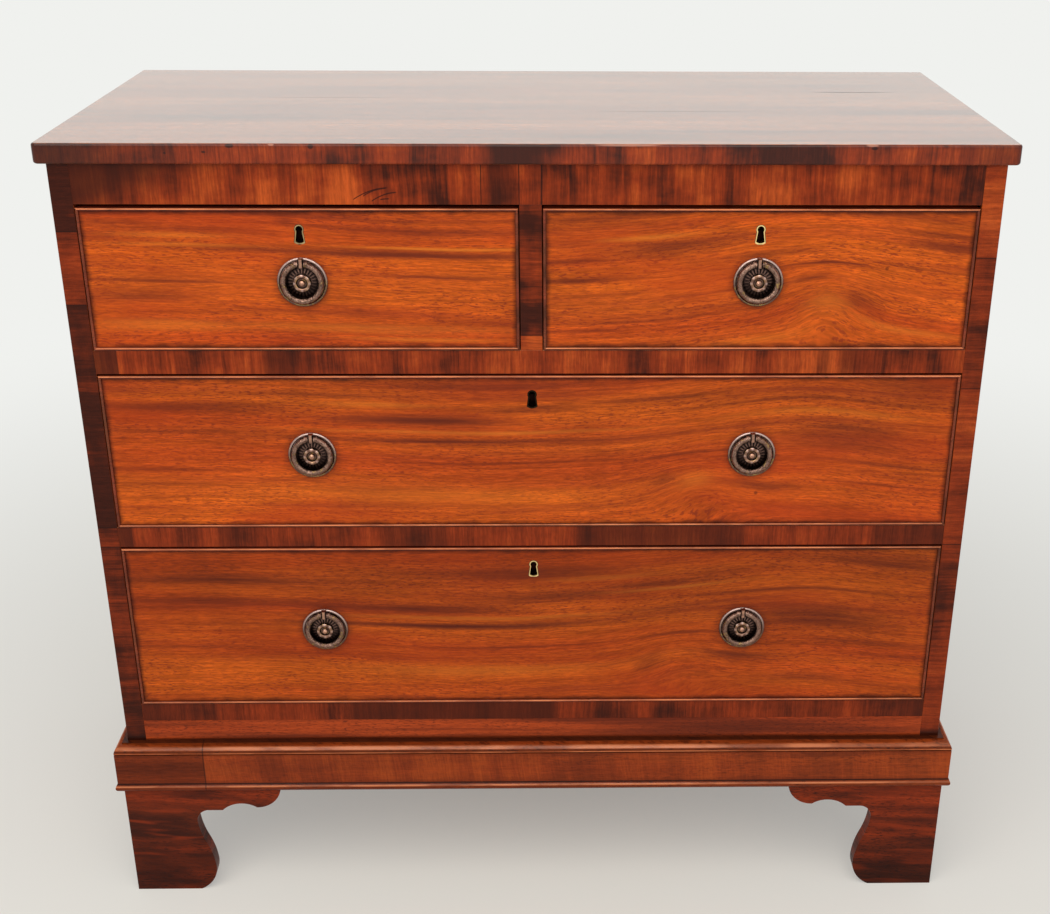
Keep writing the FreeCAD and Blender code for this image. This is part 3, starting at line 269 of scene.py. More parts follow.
class Graph:
    """The nodes of one material. Calls add nodes and give back their sockets."""

    def __init__(self, name):
        self.material = bpy.data.materials.new(name)
        self.material.use_nodes = True
        self.tree = self.material.node_tree
        self.tree.nodes.clear()
        self.shader = self.node("ShaderNodeBsdfPrincipled")
        output = self.node("ShaderNodeOutputMaterial")
        self.tree.links.new(self.shader.outputs[0], output.inputs["Surface"])
        place = self.node("ShaderNodeTexCoord")
        self.x, self.y, self.z = self.split(place.outputs["Object"])
        self.normal_x, self.normal_y, self.normal_z = self.split(place.outputs["Normal"])

    def node(self, kind, **settings):
        node = self.tree.nodes.new(kind)
        for key, value in settings.items():
            setattr(node, key, value)
        return node

    def feed(self, socket, value):
        if isinstance(value, bpy.types.NodeSocket):
            self.tree.links.new(value, socket)
        else:
            socket.default_value = value

    def set(self, **inputs):
        """Feeds the shader's own sockets, with spaces in their names written as underscores."""
        for key, value in inputs.items():
            self.feed(self.shader.inputs[key.replace("_", " ")], value)

    def math(self, operation, *values):
        node = self.node("ShaderNodeMath", operation=operation)
        for socket, value in zip(node.inputs, values):
            self.feed(socket, value)
        return node.outputs[0]

    def add(self, a, b):
        return self.math("ADD", a, b)

    def subtract(self, a, b):
        return self.math("SUBTRACT", a, b)

    def multiply(self, a, b):
        return self.math("MULTIPLY", a, b)

    def size(self, a):
        return self.math("ABSOLUTE", a)

    def largest(self, *values):
        found = values[0]
        for value in values[1:]:
            found = self.math("MAXIMUM", found, value)
        return found

    def vector(self, x, y, z):
        node = self.node("ShaderNodeCombineXYZ")
        for socket, value in zip(node.inputs, (x, y, z)):
            self.feed(socket, value)
        return node.outputs[0]

    def split(self, vector):
        node = self.node("ShaderNodeSeparateXYZ")
        self.feed(node.inputs[0], vector)
        return node.outputs

    def step(self, value, low, high, floor=0.0, ceiling=1.0):
        """A smooth step from floor at low to ceiling at high."""
        node = self.node("ShaderNodeMapRange", interpolation_type="SMOOTHSTEP")
        for socket, given in zip(node.inputs, (value, low, high, floor, ceiling)):
            self.feed(socket, given)
        return node.outputs[0]

    def stretched(self, place, scale, seed):
        node = self.node("ShaderNodeVectorMath", operation="MULTIPLY_ADD")
        self.feed(node.inputs[0], place)
        node.inputs[1].default_value = scale
        node.inputs[2].default_value = (seed * 7.31, seed * 3.17, seed * 5.73)
        return node.outputs[0]

    def noise(self, place, scale, seed, detail=2.0, roughness=0.55):
        """Noise with that many waves a metre along each direction of place."""
        node = self.node("ShaderNodeTexNoise")
        self.feed(node.inputs["Vector"], self.stretched(place, scale, seed))
        node.inputs["Scale"].default_value = 1.0
        node.inputs["Detail"].default_value = detail
        node.inputs["Roughness"].default_value = roughness
        return node.outputs[0]

    def cells(self, place, scale, seed):
        """Distance from the middle of a cell, and a random number for each cell."""
        node = self.node("ShaderNodeTexVoronoi")
        self.feed(node.inputs["Vector"], self.stretched(place, scale, seed))
        node.inputs["Scale"].default_value = 1.0
        return node.outputs["Distance"], self.split(node.outputs["Color"])[0]

    def mix(self, share, a, b):
        node = self.node("ShaderNodeMix", data_type="RGBA")
        self.feed(node.inputs[0], share)
        self.feed(node.inputs[6], a)
        self.feed(node.inputs[7], b)
        return node.outputs[2]

    def stain(self, colour, mask, strength, tint):
        """The colour, with that much of a tint where the mask is 1."""
        return self.mix(self.multiply(mask, strength), colour, tint)

    def shade(self, colour, amount):
        """The colour times a number."""
        node = self.node("ShaderNodeVectorMath", operation="SCALE")
        self.feed(node.inputs[0], colour)
        self.feed(node.inputs["Scale"], amount)
        return node.outputs[0]

    def bump(self, height, distance, strength=1.0):
        node = self.node("ShaderNodeBump")
        node.inputs["Strength"].default_value = strength
        node.inputs["Distance"].default_value = distance
        self.feed(node.inputs["Height"], height)
        return node.outputs[0]

    def facing_front(self):
        return self.step(self.normal_y, -0.45, -0.75)

    def line(self, value, place, half_width):
        """1 within half_width of a place, and 0 beyond it."""
        return self.step(self.size(self.subtract(value, place)), half_width, half_width * 0.4)


def wood(g, place, light, middle, dark, seed, streak_share=0.6, fineness=1.0, contrast=1.0):
    """Colour and surface height of wood whose grain runs along the first direction of place."""
    figure = g.noise(place, (1.3, 21.0, 21.0), seed, detail=3.0)
    streak = g.step(g.noise(place, (2.1, 37.0, 37.0), seed + 1, detail=2.5), 0.5, 0.7)
    fibre = g.noise(place, (4.0, 210.0 * fineness, 210.0 * fineness), seed + 2, detail=5.0, roughness=0.72)
    dashes = g.noise(place, (60.0, 640.0 * fineness, 640.0 * fineness), seed + 3, detail=2.0, roughness=0.7)
    pores = g.step(g.noise(place, (150.0, 760.0 * fineness, 760.0 * fineness), seed + 4), 0.53, 0.64)
    crowd = g.step(g.noise(place, (7.0, 30.0, 30.0), seed + 5), 0.35, 0.65, 0.35, 1.0)
    colour = g.mix(g.step(figure, 0.34, 0.66), middle, light)
    colour = g.mix(g.multiply(streak, streak_share), colour, dark)
    colour = g.shade(colour, g.step(fibre, 0.25, 0.75, 1 - 0.26 * contrast, 1 + 0.24 * contrast))
    colour = g.shade(colour, g.step(dashes, 0.25, 0.75, 1 - 0.28 * contrast, 1 + 0.28 * contrast))
    colour = g.stain(colour, g.multiply(pores, crowd), 0.8, dark)
    height = g.subtract(g.multiply(fibre, 0.35), pores)
    return colour, height


def polish(g, colour, height, roughness=0.37, wear=0.09, coat=0.15, coat_roughness=0.12, coat_ior=1.5,
           specular=0.05, depth=0.0001):
    """Old wax and shellac over wood."""
    place = g.vector(g.x, g.y, g.z)
    patches = g.noise(place, (9.0, 9.0, 9.0), 40, detail=4.0)
    g.set(Base_Color=colour, Roughness=g.step(patches, 0.25, 0.75, roughness - wear, roughness + wear),
          Normal=g.bump(height, depth), Specular_IOR_Level=specular,
          Coat_Weight=coat, Coat_Roughness=coat_roughness, Coat_IOR=coat_ior)
    return g.material


def crossband(g, run, rise, seed, tones=(BAND_LIGHT, BAND_MIDDLE, BAND_DARK), shift=0.0, spread=1.0):
    """Veneer with its grain across a narrow strip: run goes along the strip and rise across it."""
    light, middle, dark = tones
    flat = g.vector(run, rise, 0.0)
    sway = g.multiply(g.subtract(g.noise(flat, (9.0, 14.0, 1.0), seed), 0.5), 0.005)
    place = g.vector(g.add(run, sway), rise, 0.0)
    zone = g.noise(place, (5.0, 2.0, 1.0), seed + 1, detail=2.0)
    stripe = g.noise(place, (30.0, 4.0, 1.0), seed + 2, detail=4.0, roughness=0.6)
    cloud = g.noise(place, (20.0, 40.0, 1.0), seed + 3, detail=4.0)
    thread = g.noise(place, (330.0, 9.0, 1.0), seed + 4, detail=4.0, roughness=0.7)
    fleck = g.noise(place, (700.0, 120.0, 1.0), seed + 5, detail=2.0)
    level = g.add(g.add(g.multiply(zone, 0.6), g.multiply(stripe, 0.7)),
                  g.add(g.multiply(cloud, 0.34), g.multiply(thread, 0.16)))
    level = g.add(g.multiply(g.subtract(level, 0.9), spread), shift)
    colour = g.mix(g.step(level, -0.15, 0.04), dark, middle)
    colour = g.mix(g.step(level, 0.0, 0.19), colour, light)
    colour = g.shade(colour, g.step(thread, 0.25, 0.75, 0.78, 1.2))
    colour = g.shade(colour, g.step(fleck, 0.25, 0.75, 0.84, 1.14))
    return colour, thread


def lift_at(u, waves):
    """How far the waves of a drawer's grain lift it at a place across the drawer."""
    return sum(rise * math.exp(-((u - middle) / reach) ** 2) for middle, reach, rise in waves)


def wavy_grain(g, u, v, name):
    """Height at which the grain line through each place would lie if the grain were straight."""
    arch_u, arch_v, arch_width, arch_height, swell = ARCHES[name]
    from_u = g.multiply(g.subtract(u, arch_u), 1 / arch_width)
    from_v = g.multiply(g.subtract(v, arch_v), 1 / arch_height)
    reach = g.add(g.multiply(from_u, from_u), g.multiply(from_v, from_v))
    pull = g.math("EXPONENT", g.multiply(reach, -1.0))
    across = g.subtract(v, g.multiply(g.multiply(g.subtract(v, arch_v), pull), swell))
    for middle, width, rise in WAVES[name]:
        away = g.multiply(g.subtract(u, middle), 1 / width)
        hump = g.math("EXPONENT", g.multiply(g.multiply(away, away), -1.0))
        across = g.subtract(across, g.multiply(hump, rise))
    return across


def lenses(g, u, across, name, marks):
    """Strength of lens-shaped marks that follow the grain of a drawer's veneer."""
    total = None
    for middle, height, half_length, half_height, strength in marks:
        line_height = height - lift_at(middle, WAVES[name])
        from_u = g.multiply(g.subtract(u, middle), 1 / half_length)
        from_v = g.multiply(g.subtract(across, line_height), 1 / half_height)
        reach = g.add(g.multiply(from_u, from_u), g.multiply(from_v, from_v))
        mark = g.multiply(g.math("EXPONENT", g.multiply(g.math("POWER", reach, 1.15), -1.0)), strength)
        total = mark if total is None else g.largest(total, mark)
    return total


def drawer_veneer(name, seed):
    """Figured veneer on a drawer front, with its streaks, its arch, dirt and painted shade along its edges, a
    painted shadow round its handles, and painted shade inside its keyhole.
    """
    g = Graph(name + "_veneer")
    low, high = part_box(name + "_front")
    middle = (low + high) / 2
    half_width = (high.x - low.x) / 2
    half_height = (high.z - low.z) / 2
    u = g.subtract(g.x, middle.x)
    v = g.subtract(g.z, middle.z)
    plane = g.vector(u, v, 0.0)

    drift = g.multiply(g.subtract(g.noise(plane, (3.0, 5.0, 1.0), seed + 10), 0.5), 0.012)
    shiver = g.multiply(g.subtract(g.noise(plane, (16.0, 50.0, 1.0), seed + 11, detail=3.0), 0.5), 0.0022)
    across = g.add(wavy_grain(g, u, v, name), g.add(drift, shiver))
    place = g.vector(u, across, 0.0)

    colour, height = wood(g, place, ORANGE, RUSSET, BROWN, seed, streak_share=0.25)
    glow = g.noise(plane, (4.0, 16.0, 1.0), seed + 12, detail=3.0)
    colour = g.mix(g.step(glow, 0.45, 0.75, 0.0, 0.6), colour, RED)
    ribbon = g.noise(place, (3.0, 70.0, 1.0), seed + 5, detail=4.0, roughness=0.65)
    colour = g.mix(g.step(ribbon, 0.5, 0.75, 0.0, 0.6), colour, BROWN)
    broken = g.step(g.noise(place, (5.0, 190.0, 1.0), seed + 6, detail=4.0), 0.25, 0.55, 0.6, 1.0)
    colour = g.mix(g.multiply(lenses(g, u, across, name, GLEAMS[name]), broken), colour, GOLDEN)
    colour = g.mix(g.multiply(lenses(g, u, across, name, STREAKS[name]), broken), colour, STREAK)
    clouds = g.noise(plane, (9.0, 12.0, 1.0), seed + 7, detail=3.0)
    # Painted light and shade: each front darker towards its top, and the lower drawers darker overall.
    foot_level, top_level = PAINTED_LIGHT_LEVELS[name]
    level = g.step(v, -half_height, half_height, foot_level, top_level)
    colour = g.shade(colour, g.multiply(level, g.step(clouds, 0.25, 0.75, 0.88, 1.12)))

    # Dirt and painted shade along the edges of the front, next to the cock beads.
    edge = g.largest(g.subtract(g.size(u), half_width), g.subtract(g.size(v), half_height))
    ragged = g.multiply(g.noise(plane, (40.0, 40.0, 1.0), seed + 8, detail=4.0), 0.009)
    edge_dirt_and_shade = g.step(g.add(edge, ragged), -0.004, 0.0025)
    colour = g.stain(colour, edge_dirt_and_shade, 0.75, NEAR_BLACK)
    # Painted shadow round each handle plate.
    painted_handle_shadow = g.step(g.add(from_handle(g, name)[2], g.multiply(ragged, 0.5)), 0.036, 0.026)
    colour = g.stain(colour, painted_handle_shadow, 0.4, UMBER)
    from_dent, chance = g.cells(plane, (26.0, 26.0, 1.0), seed + 9)
    dent = g.multiply(g.step(from_dent, 0.07, 0.03), g.step(chance, 0.72, 0.74))
    colour = g.stain(colour, dent, 0.6, UMBER)

    edge_colour = wood(g, g.vector(g.x, g.y, g.z), RUSSET, BROWN, UMBER, seed + 20)[0]
    # Painted shade on the walls of the keyhole.
    from_key = g.largest(g.subtract(g.size(u), KEYHOLE_REACH[0]),
                         g.subtract(g.size(g.subtract(g.z, high.z - KEYHOLE_DROP)), KEYHOLE_REACH[1]))
    edge_colour = g.mix(g.step(from_key, MM, 0.0), edge_colour, NEAR_BLACK)
    colour = g.mix(g.facing_front(), edge_colour, colour)
    return polish(g, colour, g.subtract(height, dent))


def from_handle(g, name):
    """How far a place is across and up from the axis of the nearest handle of a drawer, and its distance."""
    low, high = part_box(name + "_handle_plates")
    radius = (high.z - low.z) / 2
    half_spacing = (high.x - low.x) / 2 - radius
    from_middle = g.subtract(g.x, (low.x + high.x) / 2)
    across = from_middle
    if half_spacing > radius:
        across = g.subtract(g.size(from_middle), half_spacing)
    up = g.subtract(g.z, low.z + radius)
    away = g.math("SQRT", g.add(g.multiply(across, across), g.multiply(up, up)))
    return across, up, away


def spot(g, across, up, half_width, half_height):
    """1 in the middle of an oval, falling to 0 at its edge."""
    from_across = g.multiply(across, 1 / half_width)
    from_up = g.multiply(up, 1 / half_height)
    return g.step(g.add(g.multiply(from_across, from_across), g.multiply(from_up, from_up)), 1.0, 0.3)


def top_material():
    """Glossy top with long grain and old cracks, and crossbanding round its edge."""
    g = Graph("top_polish")
    low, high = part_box("top_board")
    colour, height = wood(g, g.vector(g.x, g.y, g.z), TOP_LIGHT, TOP_MIDDLE, TOP_DARK, 51, contrast=2.2)
    wander = g.noise(g.vector(g.x, 0.0, 0.0), (6.0, 1.0, 1.0), 57, detail=4.0)
    bent_y = g.add(g.y, g.multiply(g.subtract(wander, 0.5), 0.01))
    cracked = 0.0
    for left, right, depth, half_width, strength in CRACKS:
        middle = (left + right) / 2 * MM
        crack = spot(g, g.subtract(g.x, middle), g.subtract(bent_y, depth * MM), right * MM - middle,
                     half_width * MM)
        cracked = g.largest(g.multiply(crack, strength), cracked)
    colour = g.mix(cracked, colour, NEAR_BLACK)

    run = g.add(g.x, g.y)
    band_colour = crossband(g, run, g.z, 55, shift=-0.02, spread=0.85)[0]
    band_colour = g.stain(band_colour, g.line(g.x, *TOP_PATCH), 0.6, BAND_DARK)
    left_end = g.step(g.x, *[low.x + reach for reach in TOP_LEFT_END])
    band_colour = g.stain(band_colour, left_end, 0.8, NEAR_BLACK)
    right_end = g.step(g.x, *[high.x - reach for reach in TOP_RIGHT_END])
    band_colour = g.stain(band_colour, right_end, 0.4, NEAR_BLACK)
    bruise = g.step(g.noise(g.vector(run, g.z, 0.0), (55.0, 30.0, 1.0), 58, detail=3.0), 0.6, 0.7)
    arris = g.step(g.z, high.z - 0.006, high.z - 0.001)
    band_colour = g.mix(g.multiply(arris, g.add(g.multiply(bruise, 0.4), 0.35)), band_colour, NEAR_BLACK)
    on_front = g.step(g.y, low.y + 0.01, low.y + 0.005)
    for middle, depth, half_width, half_height in KNOCKS:
        knock = spot(g, g.subtract(g.x, middle * MM), g.subtract(g.z, high.z - depth * MM),
                     half_width * MM, half_height * MM)
        band_colour = g.stain(band_colour, g.multiply(knock, on_front), 0.8, NEAR_BLACK)
    # Painted highlights on the worn arris of the front edge.
    for left, right in ARRIS_GLEAMS:
        middle = (left + right) / 2 * MM
        arris_gleam = spot(g, g.subtract(g.x, middle), g.subtract(g.z, high.z - ARRIS_DROP), right * MM - middle,
                    ARRIS_HALF_HEIGHT)
        band_colour = g.stain(band_colour, g.multiply(arris_gleam, on_front), 0.5, PAINTED_GLEAM_EDGE)
    upright = g.step(g.size(g.normal_z), 0.98, 0.8)
    colour = g.mix(upright, colour, band_colour)
    gloss = g.multiply(g.subtract(1.0, g.multiply(upright, 0.94)), g.subtract(1.0, cracked))
    return polish(g, colour, height, roughness=0.2, wear=0.01, coat=gloss, coat_roughness=0.2, coat_ior=2.25,
                  specular=0.15, depth=0.00002)


def side_material(name):
    """Long grain up the outside, and crossbanding on the front edge, pieced up its length."""
    g = Graph(name + "_mahogany")
    colour, height = wood(g, g.vector(g.z, g.y, g.x), SIDE_LIGHT, SIDE_MIDDLE, SIDE_DARK, 61)
    pieces = STILE_PIECES[name]
    shift = pieces[0][1]
    for (joint, below), (_, above) in zip(pieces, pieces[1:]):
        shift = g.add(g.step(g.z, joint - 0.0001, joint + 0.0001, 0.0, above - below), shift)
    band_colour = crossband(g, g.z, g.x, 65, shift=shift, spread=0.6)[0]
    for joint, _ in pieces[:-1]:
        seam = g.line(g.z, joint, STILE_JOINT_HALF_WIDTH)
        band_colour = g.stain(band_colour, seam, 0.8, NEAR_BLACK)
    colour = g.mix(g.facing_front(), colour, band_colour)
    # Painted shade at the foot of the stiles, in the corner over the plinth.
    plinth_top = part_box("plinth_front")[1].z
    painted_corner_shade = g.step(g.z, plinth_top + 0.014, plinth_top + 0.002)
    colour = g.stain(colour, painted_corner_shade, 0.85, NEAR_BLACK)
    return polish(g, colour, height)


def scratches(g, foot):
    """Curved scratches that rise fast and flatten out, above the foot of the frieze."""
    total = None
    for left, length, height, rise in SCRATCHES:
        share = g.multiply(g.subtract(g.x, left * MM), 1 / (length * MM))
        left_over = g.subtract(1.0, share)
        curve = g.multiply(g.subtract(1.0, g.multiply(left_over, left_over)), rise * MM)
        inside = g.multiply(g.step(share, 0.0, 0.05), g.step(share, 1.0, 0.9))
        mark = g.multiply(g.line(g.subtract(g.z, curve), foot + height * MM, 0.0009), inside)
        total = mark if total is None else g.largest(total, mark)
    return total


def rail_material(name, seed, shift, spread):
    """Crossbanding on the front of a rail, and bare oak behind it."""
    g = Graph(name + "_veneer")
    if name == "frieze_rail":
        shift = g.step(g.x, 0.0, FRIEZE_LIGHTER_REACH, shift, shift + FRIEZE_LIGHTER_SHIFT)
    colour, height = crossband(g, g.x, g.z, seed, shift=shift, spread=spread)
    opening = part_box("short_left_front")[0].x
    if name in DARK_ENDS:
        end = opening + DARK_ENDS[name]
        colour = g.mix(g.step(g.x, end + 0.0004, end - 0.0004, 0.0, 0.75), colour, BAND_DARK)
    for left, right, strength in DARK_PIECES.get(name, ()):
        from_left = g.step(g.x, (left - DARK_PIECE_FADE) * MM, (left + DARK_PIECE_FADE) * MM)
        from_right = g.step(g.x, (right + DARK_PIECE_FADE) * MM, (right - DARK_PIECE_FADE) * MM)
        colour = g.stain(colour, g.multiply(from_left, from_right), strength, BAND_DARK)
    if name == "frieze_rail":
        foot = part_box(name)[0].z
        low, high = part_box("centre_muntin")
        patch = g.line(g.x, low.x - FRIEZE_PATCH_WIDTH / 2, FRIEZE_PATCH_WIDTH / 2)
        colour = g.stain(colour, patch, 0.6, BAND_DARK)
        slant = g.multiply(g.subtract(g.z, foot), FRIEZE_SLANT)
        left_end = g.step(g.subtract(g.x, slant), *[opening + reach for reach in FRIEZE_DARK_END])
        colour = g.stain(colour, left_end, 0.9, BAND_DARK)
        for seam in (low.x - FRIEZE_PATCH_WIDTH, low.x, high.x):
            colour = g.stain(colour, g.line(g.x, seam, SEAM_HALF_WIDTH), 0.8, NEAR_BLACK)
        colour = g.stain(colour, scratches(g, foot), 0.8, NEAR_BLACK)
    inner_colour = wood(g, g.vector(g.x, g.z, g.y), OAK, OAK_DARK, OAK_DARK, seed + 5)[0]
    colour = g.mix(g.facing_front(), inner_colour, colour)
    return polish(g, colour, height)


def muntin_material():
    """Crossbanding with a lighter piece let in at its foot."""
    g = Graph("muntin_veneer")
    patch_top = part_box("upper_drawer_rail")[1].z + MUNTIN_PATCH_HEIGHT
    shift = g.step(g.z, patch_top + 0.0002, patch_top - 0.0002, *MUNTIN_SHIFTS)
    colour, height = crossband(g, g.z, g.x, 111, shift=shift)
    colour = g.stain(colour, g.line(g.z, patch_top, SEAM_HALF_WIDTH), 0.8, NEAR_BLACK)
    return polish(g, colour, height)


def plinth_material():
    """Plain banding, with wear and painted highlights along its mouldings, painted shade beside and in them,
    and an old joint near the left end.
    """
    g = Graph("plinth_mahogany")
    low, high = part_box("plinth_front")
    band_top = high.z - PLINTH_MOULDING_HEIGHT
    band_foot = low.z + PLINTH_BEAD_HEIGHT
    joint_x = low.x + PLINTH_JOINT
    run = g.add(g.x, g.y)
    place = g.vector(run, g.z, 0.0)
    tones = (PLINTH_LIGHT, PLINTH_MIDDLE, PLINTH_DARK)
    plain, height = wood(g, place, *tones, 87, contrast=0.8)
    banded = crossband(g, g.add(run, g.multiply(g.z, 0.12)), g.z, 81, tones=tones, spread=1.1)[0]
    left_piece = g.step(g.x, joint_x + 0.0005, joint_x - 0.0005)
    colour = g.mix(g.subtract(0.5, g.multiply(left_piece, 0.4)), plain, banded)
    colour = g.shade(colour, g.subtract(1.0, g.multiply(left_piece, 0.36)))
    # Painted shade on the band beside the mouldings.
    band_edge = g.largest(g.step(g.z, band_top - 0.006, band_top), g.step(g.z, band_foot + 0.007, band_foot))
    colour = g.stain(colour, band_edge, 0.5, PLINTH_DARK)
    moulded = g.largest(g.step(g.z, band_top - 0.0005, band_top), g.step(g.z, band_foot, band_foot - 0.0005))
    colour = g.mix(moulded, colour, g.shade(plain, 0.6))
    # Dirt and painted shade on the ledge and in the quirk, hollow and neck of the mouldings.
    ledge = g.step(g.z, high.z - 0.0016, high.z - 0.0002)
    quirk = g.line(g.z, band_top - 0.0004, 0.0009)
    hollow = g.line(g.z, band_top + 0.0032, 0.0016)
    neck = g.line(g.z, band_foot + 0.0004, 0.0012)
    for dirt_and_shade, strength in ((ledge, 0.75), (quirk, 0.7), (hollow, 0.4), (neck, 0.85)):
        colour = g.stain(colour, dirt_and_shade, strength, NEAR_BLACK)
    # Wear and painted highlights along the lip, shoulder and nose.
    chips = g.step(g.noise(place, (14.0, 60.0, 1.0), 88, detail=3.0), 0.38, 0.6, 0.25, 1.0)
    lip = g.line(g.z, band_top + 0.0010, 0.0008)
    shoulder = g.line(g.z, high.z - 0.0048, 0.0024)
    nose = g.line(g.z, low.z + 0.0066, 0.0013)
    for wear_and_gleam, strength in ((lip, 0.7), (shoulder, 0.75), (nose, 0.75)):
        colour = g.stain(colour, g.multiply(wear_and_gleam, chips), strength, WORN_GLEAM_EDGE)
    joint = g.line(g.x, joint_x, PLINTH_JOINT_HALF_WIDTH)
    colour = g.stain(colour, joint, 0.6, NEAR_BLACK)
    return polish(g, colour, height, coat=g.step(g.largest(shoulder, nose), 0.0, 1.0, 0.15, 0.45))


def foot_material():
    """Dark wood with soft tiger streaks, and painted shade that is darkest at the floor."""
    g = Graph("foot_mahogany")
    run = g.add(g.x, g.y)
    place = g.vector(run, g.add(g.z, g.multiply(run, 0.06)), 0.0)
    colour, height = wood(g, place, FOOT_LIGHT, FOOT_MIDDLE, FOOT_DARK, 121, contrast=0.7)
    ripple = g.step(g.noise(place, (9.0, 42.0, 1.0), 127, detail=3.0), 0.42, 0.68)
    colour = g.stain(colour, ripple, 0.7, FOOT_DARK)
    flame = g.step(g.noise(place, (10.0, 75.0, 1.0), 126, detail=2.0), 0.55, 0.72)
    colour = g.stain(colour, flame, 0.7, FOOT_LIGHT)
    # Painted shade, darker towards the floor.
    painted_floor_shade = g.step(g.z, FOOT_DARK_HEIGHT, 0.0, 1.0, FOOT_FLOOR_SHADE)
    return polish(g, g.shade(colour, painted_floor_shade), height)


def strip_material():
    """Base strip: long grain with bold streaks, and painted shade in the corner over the plinth."""
    g = Graph("base_strip_mahogany")
    plinth_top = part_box("plinth_front")[1].z
    place = g.vector(g.x, g.z, g.y)
    colour, height = wood(g, place, STRIP_LIGHT, STRIP_MIDDLE, STRIP_DARK, 115, contrast=0.7)
    bold = g.step(g.noise(place, (2.2, 75.0, 1.0), 117, detail=2.0), 0.45, 0.66)
    colour = g.stain(colour, bold, 0.75, STRIP_DARK)
    # Painted shade in the corner over the plinth.
    painted_corner_shade = g.step(g.z, plinth_top + 0.004, plinth_top + 0.0005)
    colour = g.stain(colour, painted_corner_shade, 0.7, NEAR_BLACK)
    return polish(g, colour, height)


def bead_material(name):
    """Cock beads: dark red-brown, with wear and a painted highlight along the upper side of the nose."""
    g = Graph(name + "_bead")
    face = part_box(name + "_cock_beads")[0].y
    place = g.vector(g.x, g.z, g.y)
    colour, height = wood(g, place, BEAD_LIGHT, BEAD_DARK, NEAR_BLACK, 91)
    # Wear and a painted highlight on the upward-facing side of the nose.
    worn_gleam_patches = g.noise(place, (22.0, 22.0, 22.0), 95, detail=3.0)
    nose = g.multiply(g.step(g.y, face + 0.0014, face + 0.0003), g.step(g.normal_z, -0.1, 0.3))
    colour = g.mix(g.multiply(nose, g.step(worn_gleam_patches, 0.35, 0.65, 0.45, 1.0)), colour, WORN_GLEAM_EDGE)
    return polish(g, colour, height, roughness=0.3, coat=0.25)


def bare_wood(name, light, dark, seed, along, contrast=0.6):
    """Unpolished wood for the inside and the back."""
    g = Graph(name)
    order = {"x": (g.x, g.y, g.z), "y": (g.y, g.x, g.z), "z": (g.z, g.x, g.y)}
    colour, height = wood(g, g.vector(*order[along]), light, light, dark, seed, 0.5, 0.5, contrast)
    dirt_and_shade = g.noise(g.vector(g.x, g.y, g.z), (7.0, 7.0, 7.0), seed + 6, detail=4.0)
    colour = g.shade(colour, g.step(dirt_and_shade, 0.3, 0.7, 0.7, 1.05))
    if along == "z":
        low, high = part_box("back_boards")
        board = g.math("FLOOR", g.multiply(g.subtract(g.x, low.x), BACK_BOARD_COUNT / (high.x - low.x)))
        chance = g.node("ShaderNodeTexWhiteNoise", noise_dimensions="1D")
        g.feed(chance.inputs["W"], board)
        colour = g.shade(colour, g.step(chance.outputs["Value"], 0.0, 1.0, 0.72, 1.1))
    g.set(Base_Color=colour, Roughness=0.7, Normal=g.bump(height, 0.0002), Specular_IOR_Level=0.2)
    return g.material


def plate_material(name):
    """Handle plates: black in the dish and the flutes, with painted highlights on the upper ribs, the upper
    rim and the petals, painted shade between the petals and on the lug's sides, and worn lighter on the boss
    and the lug.
    """
    g = Graph(name + "_plate_bronze")
    place = g.vector(g.x, g.y, g.z)
    stand = g.subtract(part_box(name + "_front")[0].y, g.y)
    across, up, away = from_handle(g, name)
    slope = g.math("DIVIDE", up, g.largest(away, MM))
    patches = g.noise(place, (260.0, 260.0, 260.0), 101, detail=4.0)
    metal = g.mix(g.step(patches, 0.45, 0.7), BRONZE, GILT)
    rib = g.multiply(g.step(stand, *RIB_STAND), g.step(away, *FLUTES_OUTSIDE))
    # Painted highlight: the ribs between the flutes are lighter in the upper half.
    colour = g.mix(g.multiply(rib, g.step(slope, -0.6, 0.6, 0.15, 0.9)), BRONZE_DARK, BRONZE)
    rim = g.step(away, *RIM_INSIDE)
    colour = g.stain(colour, rim, 0.8, metal)
    # Painted highlight on the upper part of the rim.
    colour = g.mix(g.multiply(rim, g.step(slope, -0.3, 0.7, 0.0, 0.85)), colour, PAINTED_BRONZE_HIGHLIGHT)
    raised = g.step(g.add(stand, g.multiply(patches, 0.0016)), *RAISED_STAND)
    colour = g.mix(raised, colour, metal)
    # Painted shade between the petals and a painted highlight on each.
    petals = g.math("COSINE", g.multiply(g.math("ARCTAN2", up, across), PETAL_COUNT))
    petal_ring = g.multiply(g.step(away, *PETALS_OUTSIDE), g.step(away, *PETALS_INSIDE))
    colour = g.mix(g.multiply(petal_ring, g.step(petals, 0.2, -0.6, 0.0, 0.8)), colour, BRONZE_DARK)
    colour = g.mix(g.multiply(petal_ring, g.step(petals, 0.2, 0.9, 0.0, 0.7)), colour, PAINTED_BRONZE_HIGHLIGHT)
    colour = g.stain(colour, g.line(away, *BOSS_GROOVE), 0.7, BRONZE_DARK)
    # Wear, and a painted highlight, on the metal that stands out furthest.
    wear_and_gleam = g.multiply(g.step(stand, *RUBBED_STAND), g.step(patches, 0.3, 0.6, 0.2, 0.8))
    colour = g.mix(wear_and_gleam, colour, COPPER)
    # Painted shade on the sides of the lug.
    lug_side_shade = g.multiply(g.step(g.size(g.normal_x), 0.3, 0.7), g.step(away, *LUG_INSIDE))
    colour = g.mix(g.multiply(lug_side_shade, g.step(stand, *LUG_STAND)), colour, BRONZE_DARK)
    back = g.step(stand, 0.0, -0.002)
    colour = g.mix(back, colour, BRASS_DULL)
    g.set(Base_Color=colour, Metallic=1.0, Roughness=g.step(patches, 0.3, 0.7, 0.4, 0.2),
          Normal=g.bump(patches, 0.0006))
    return g.material


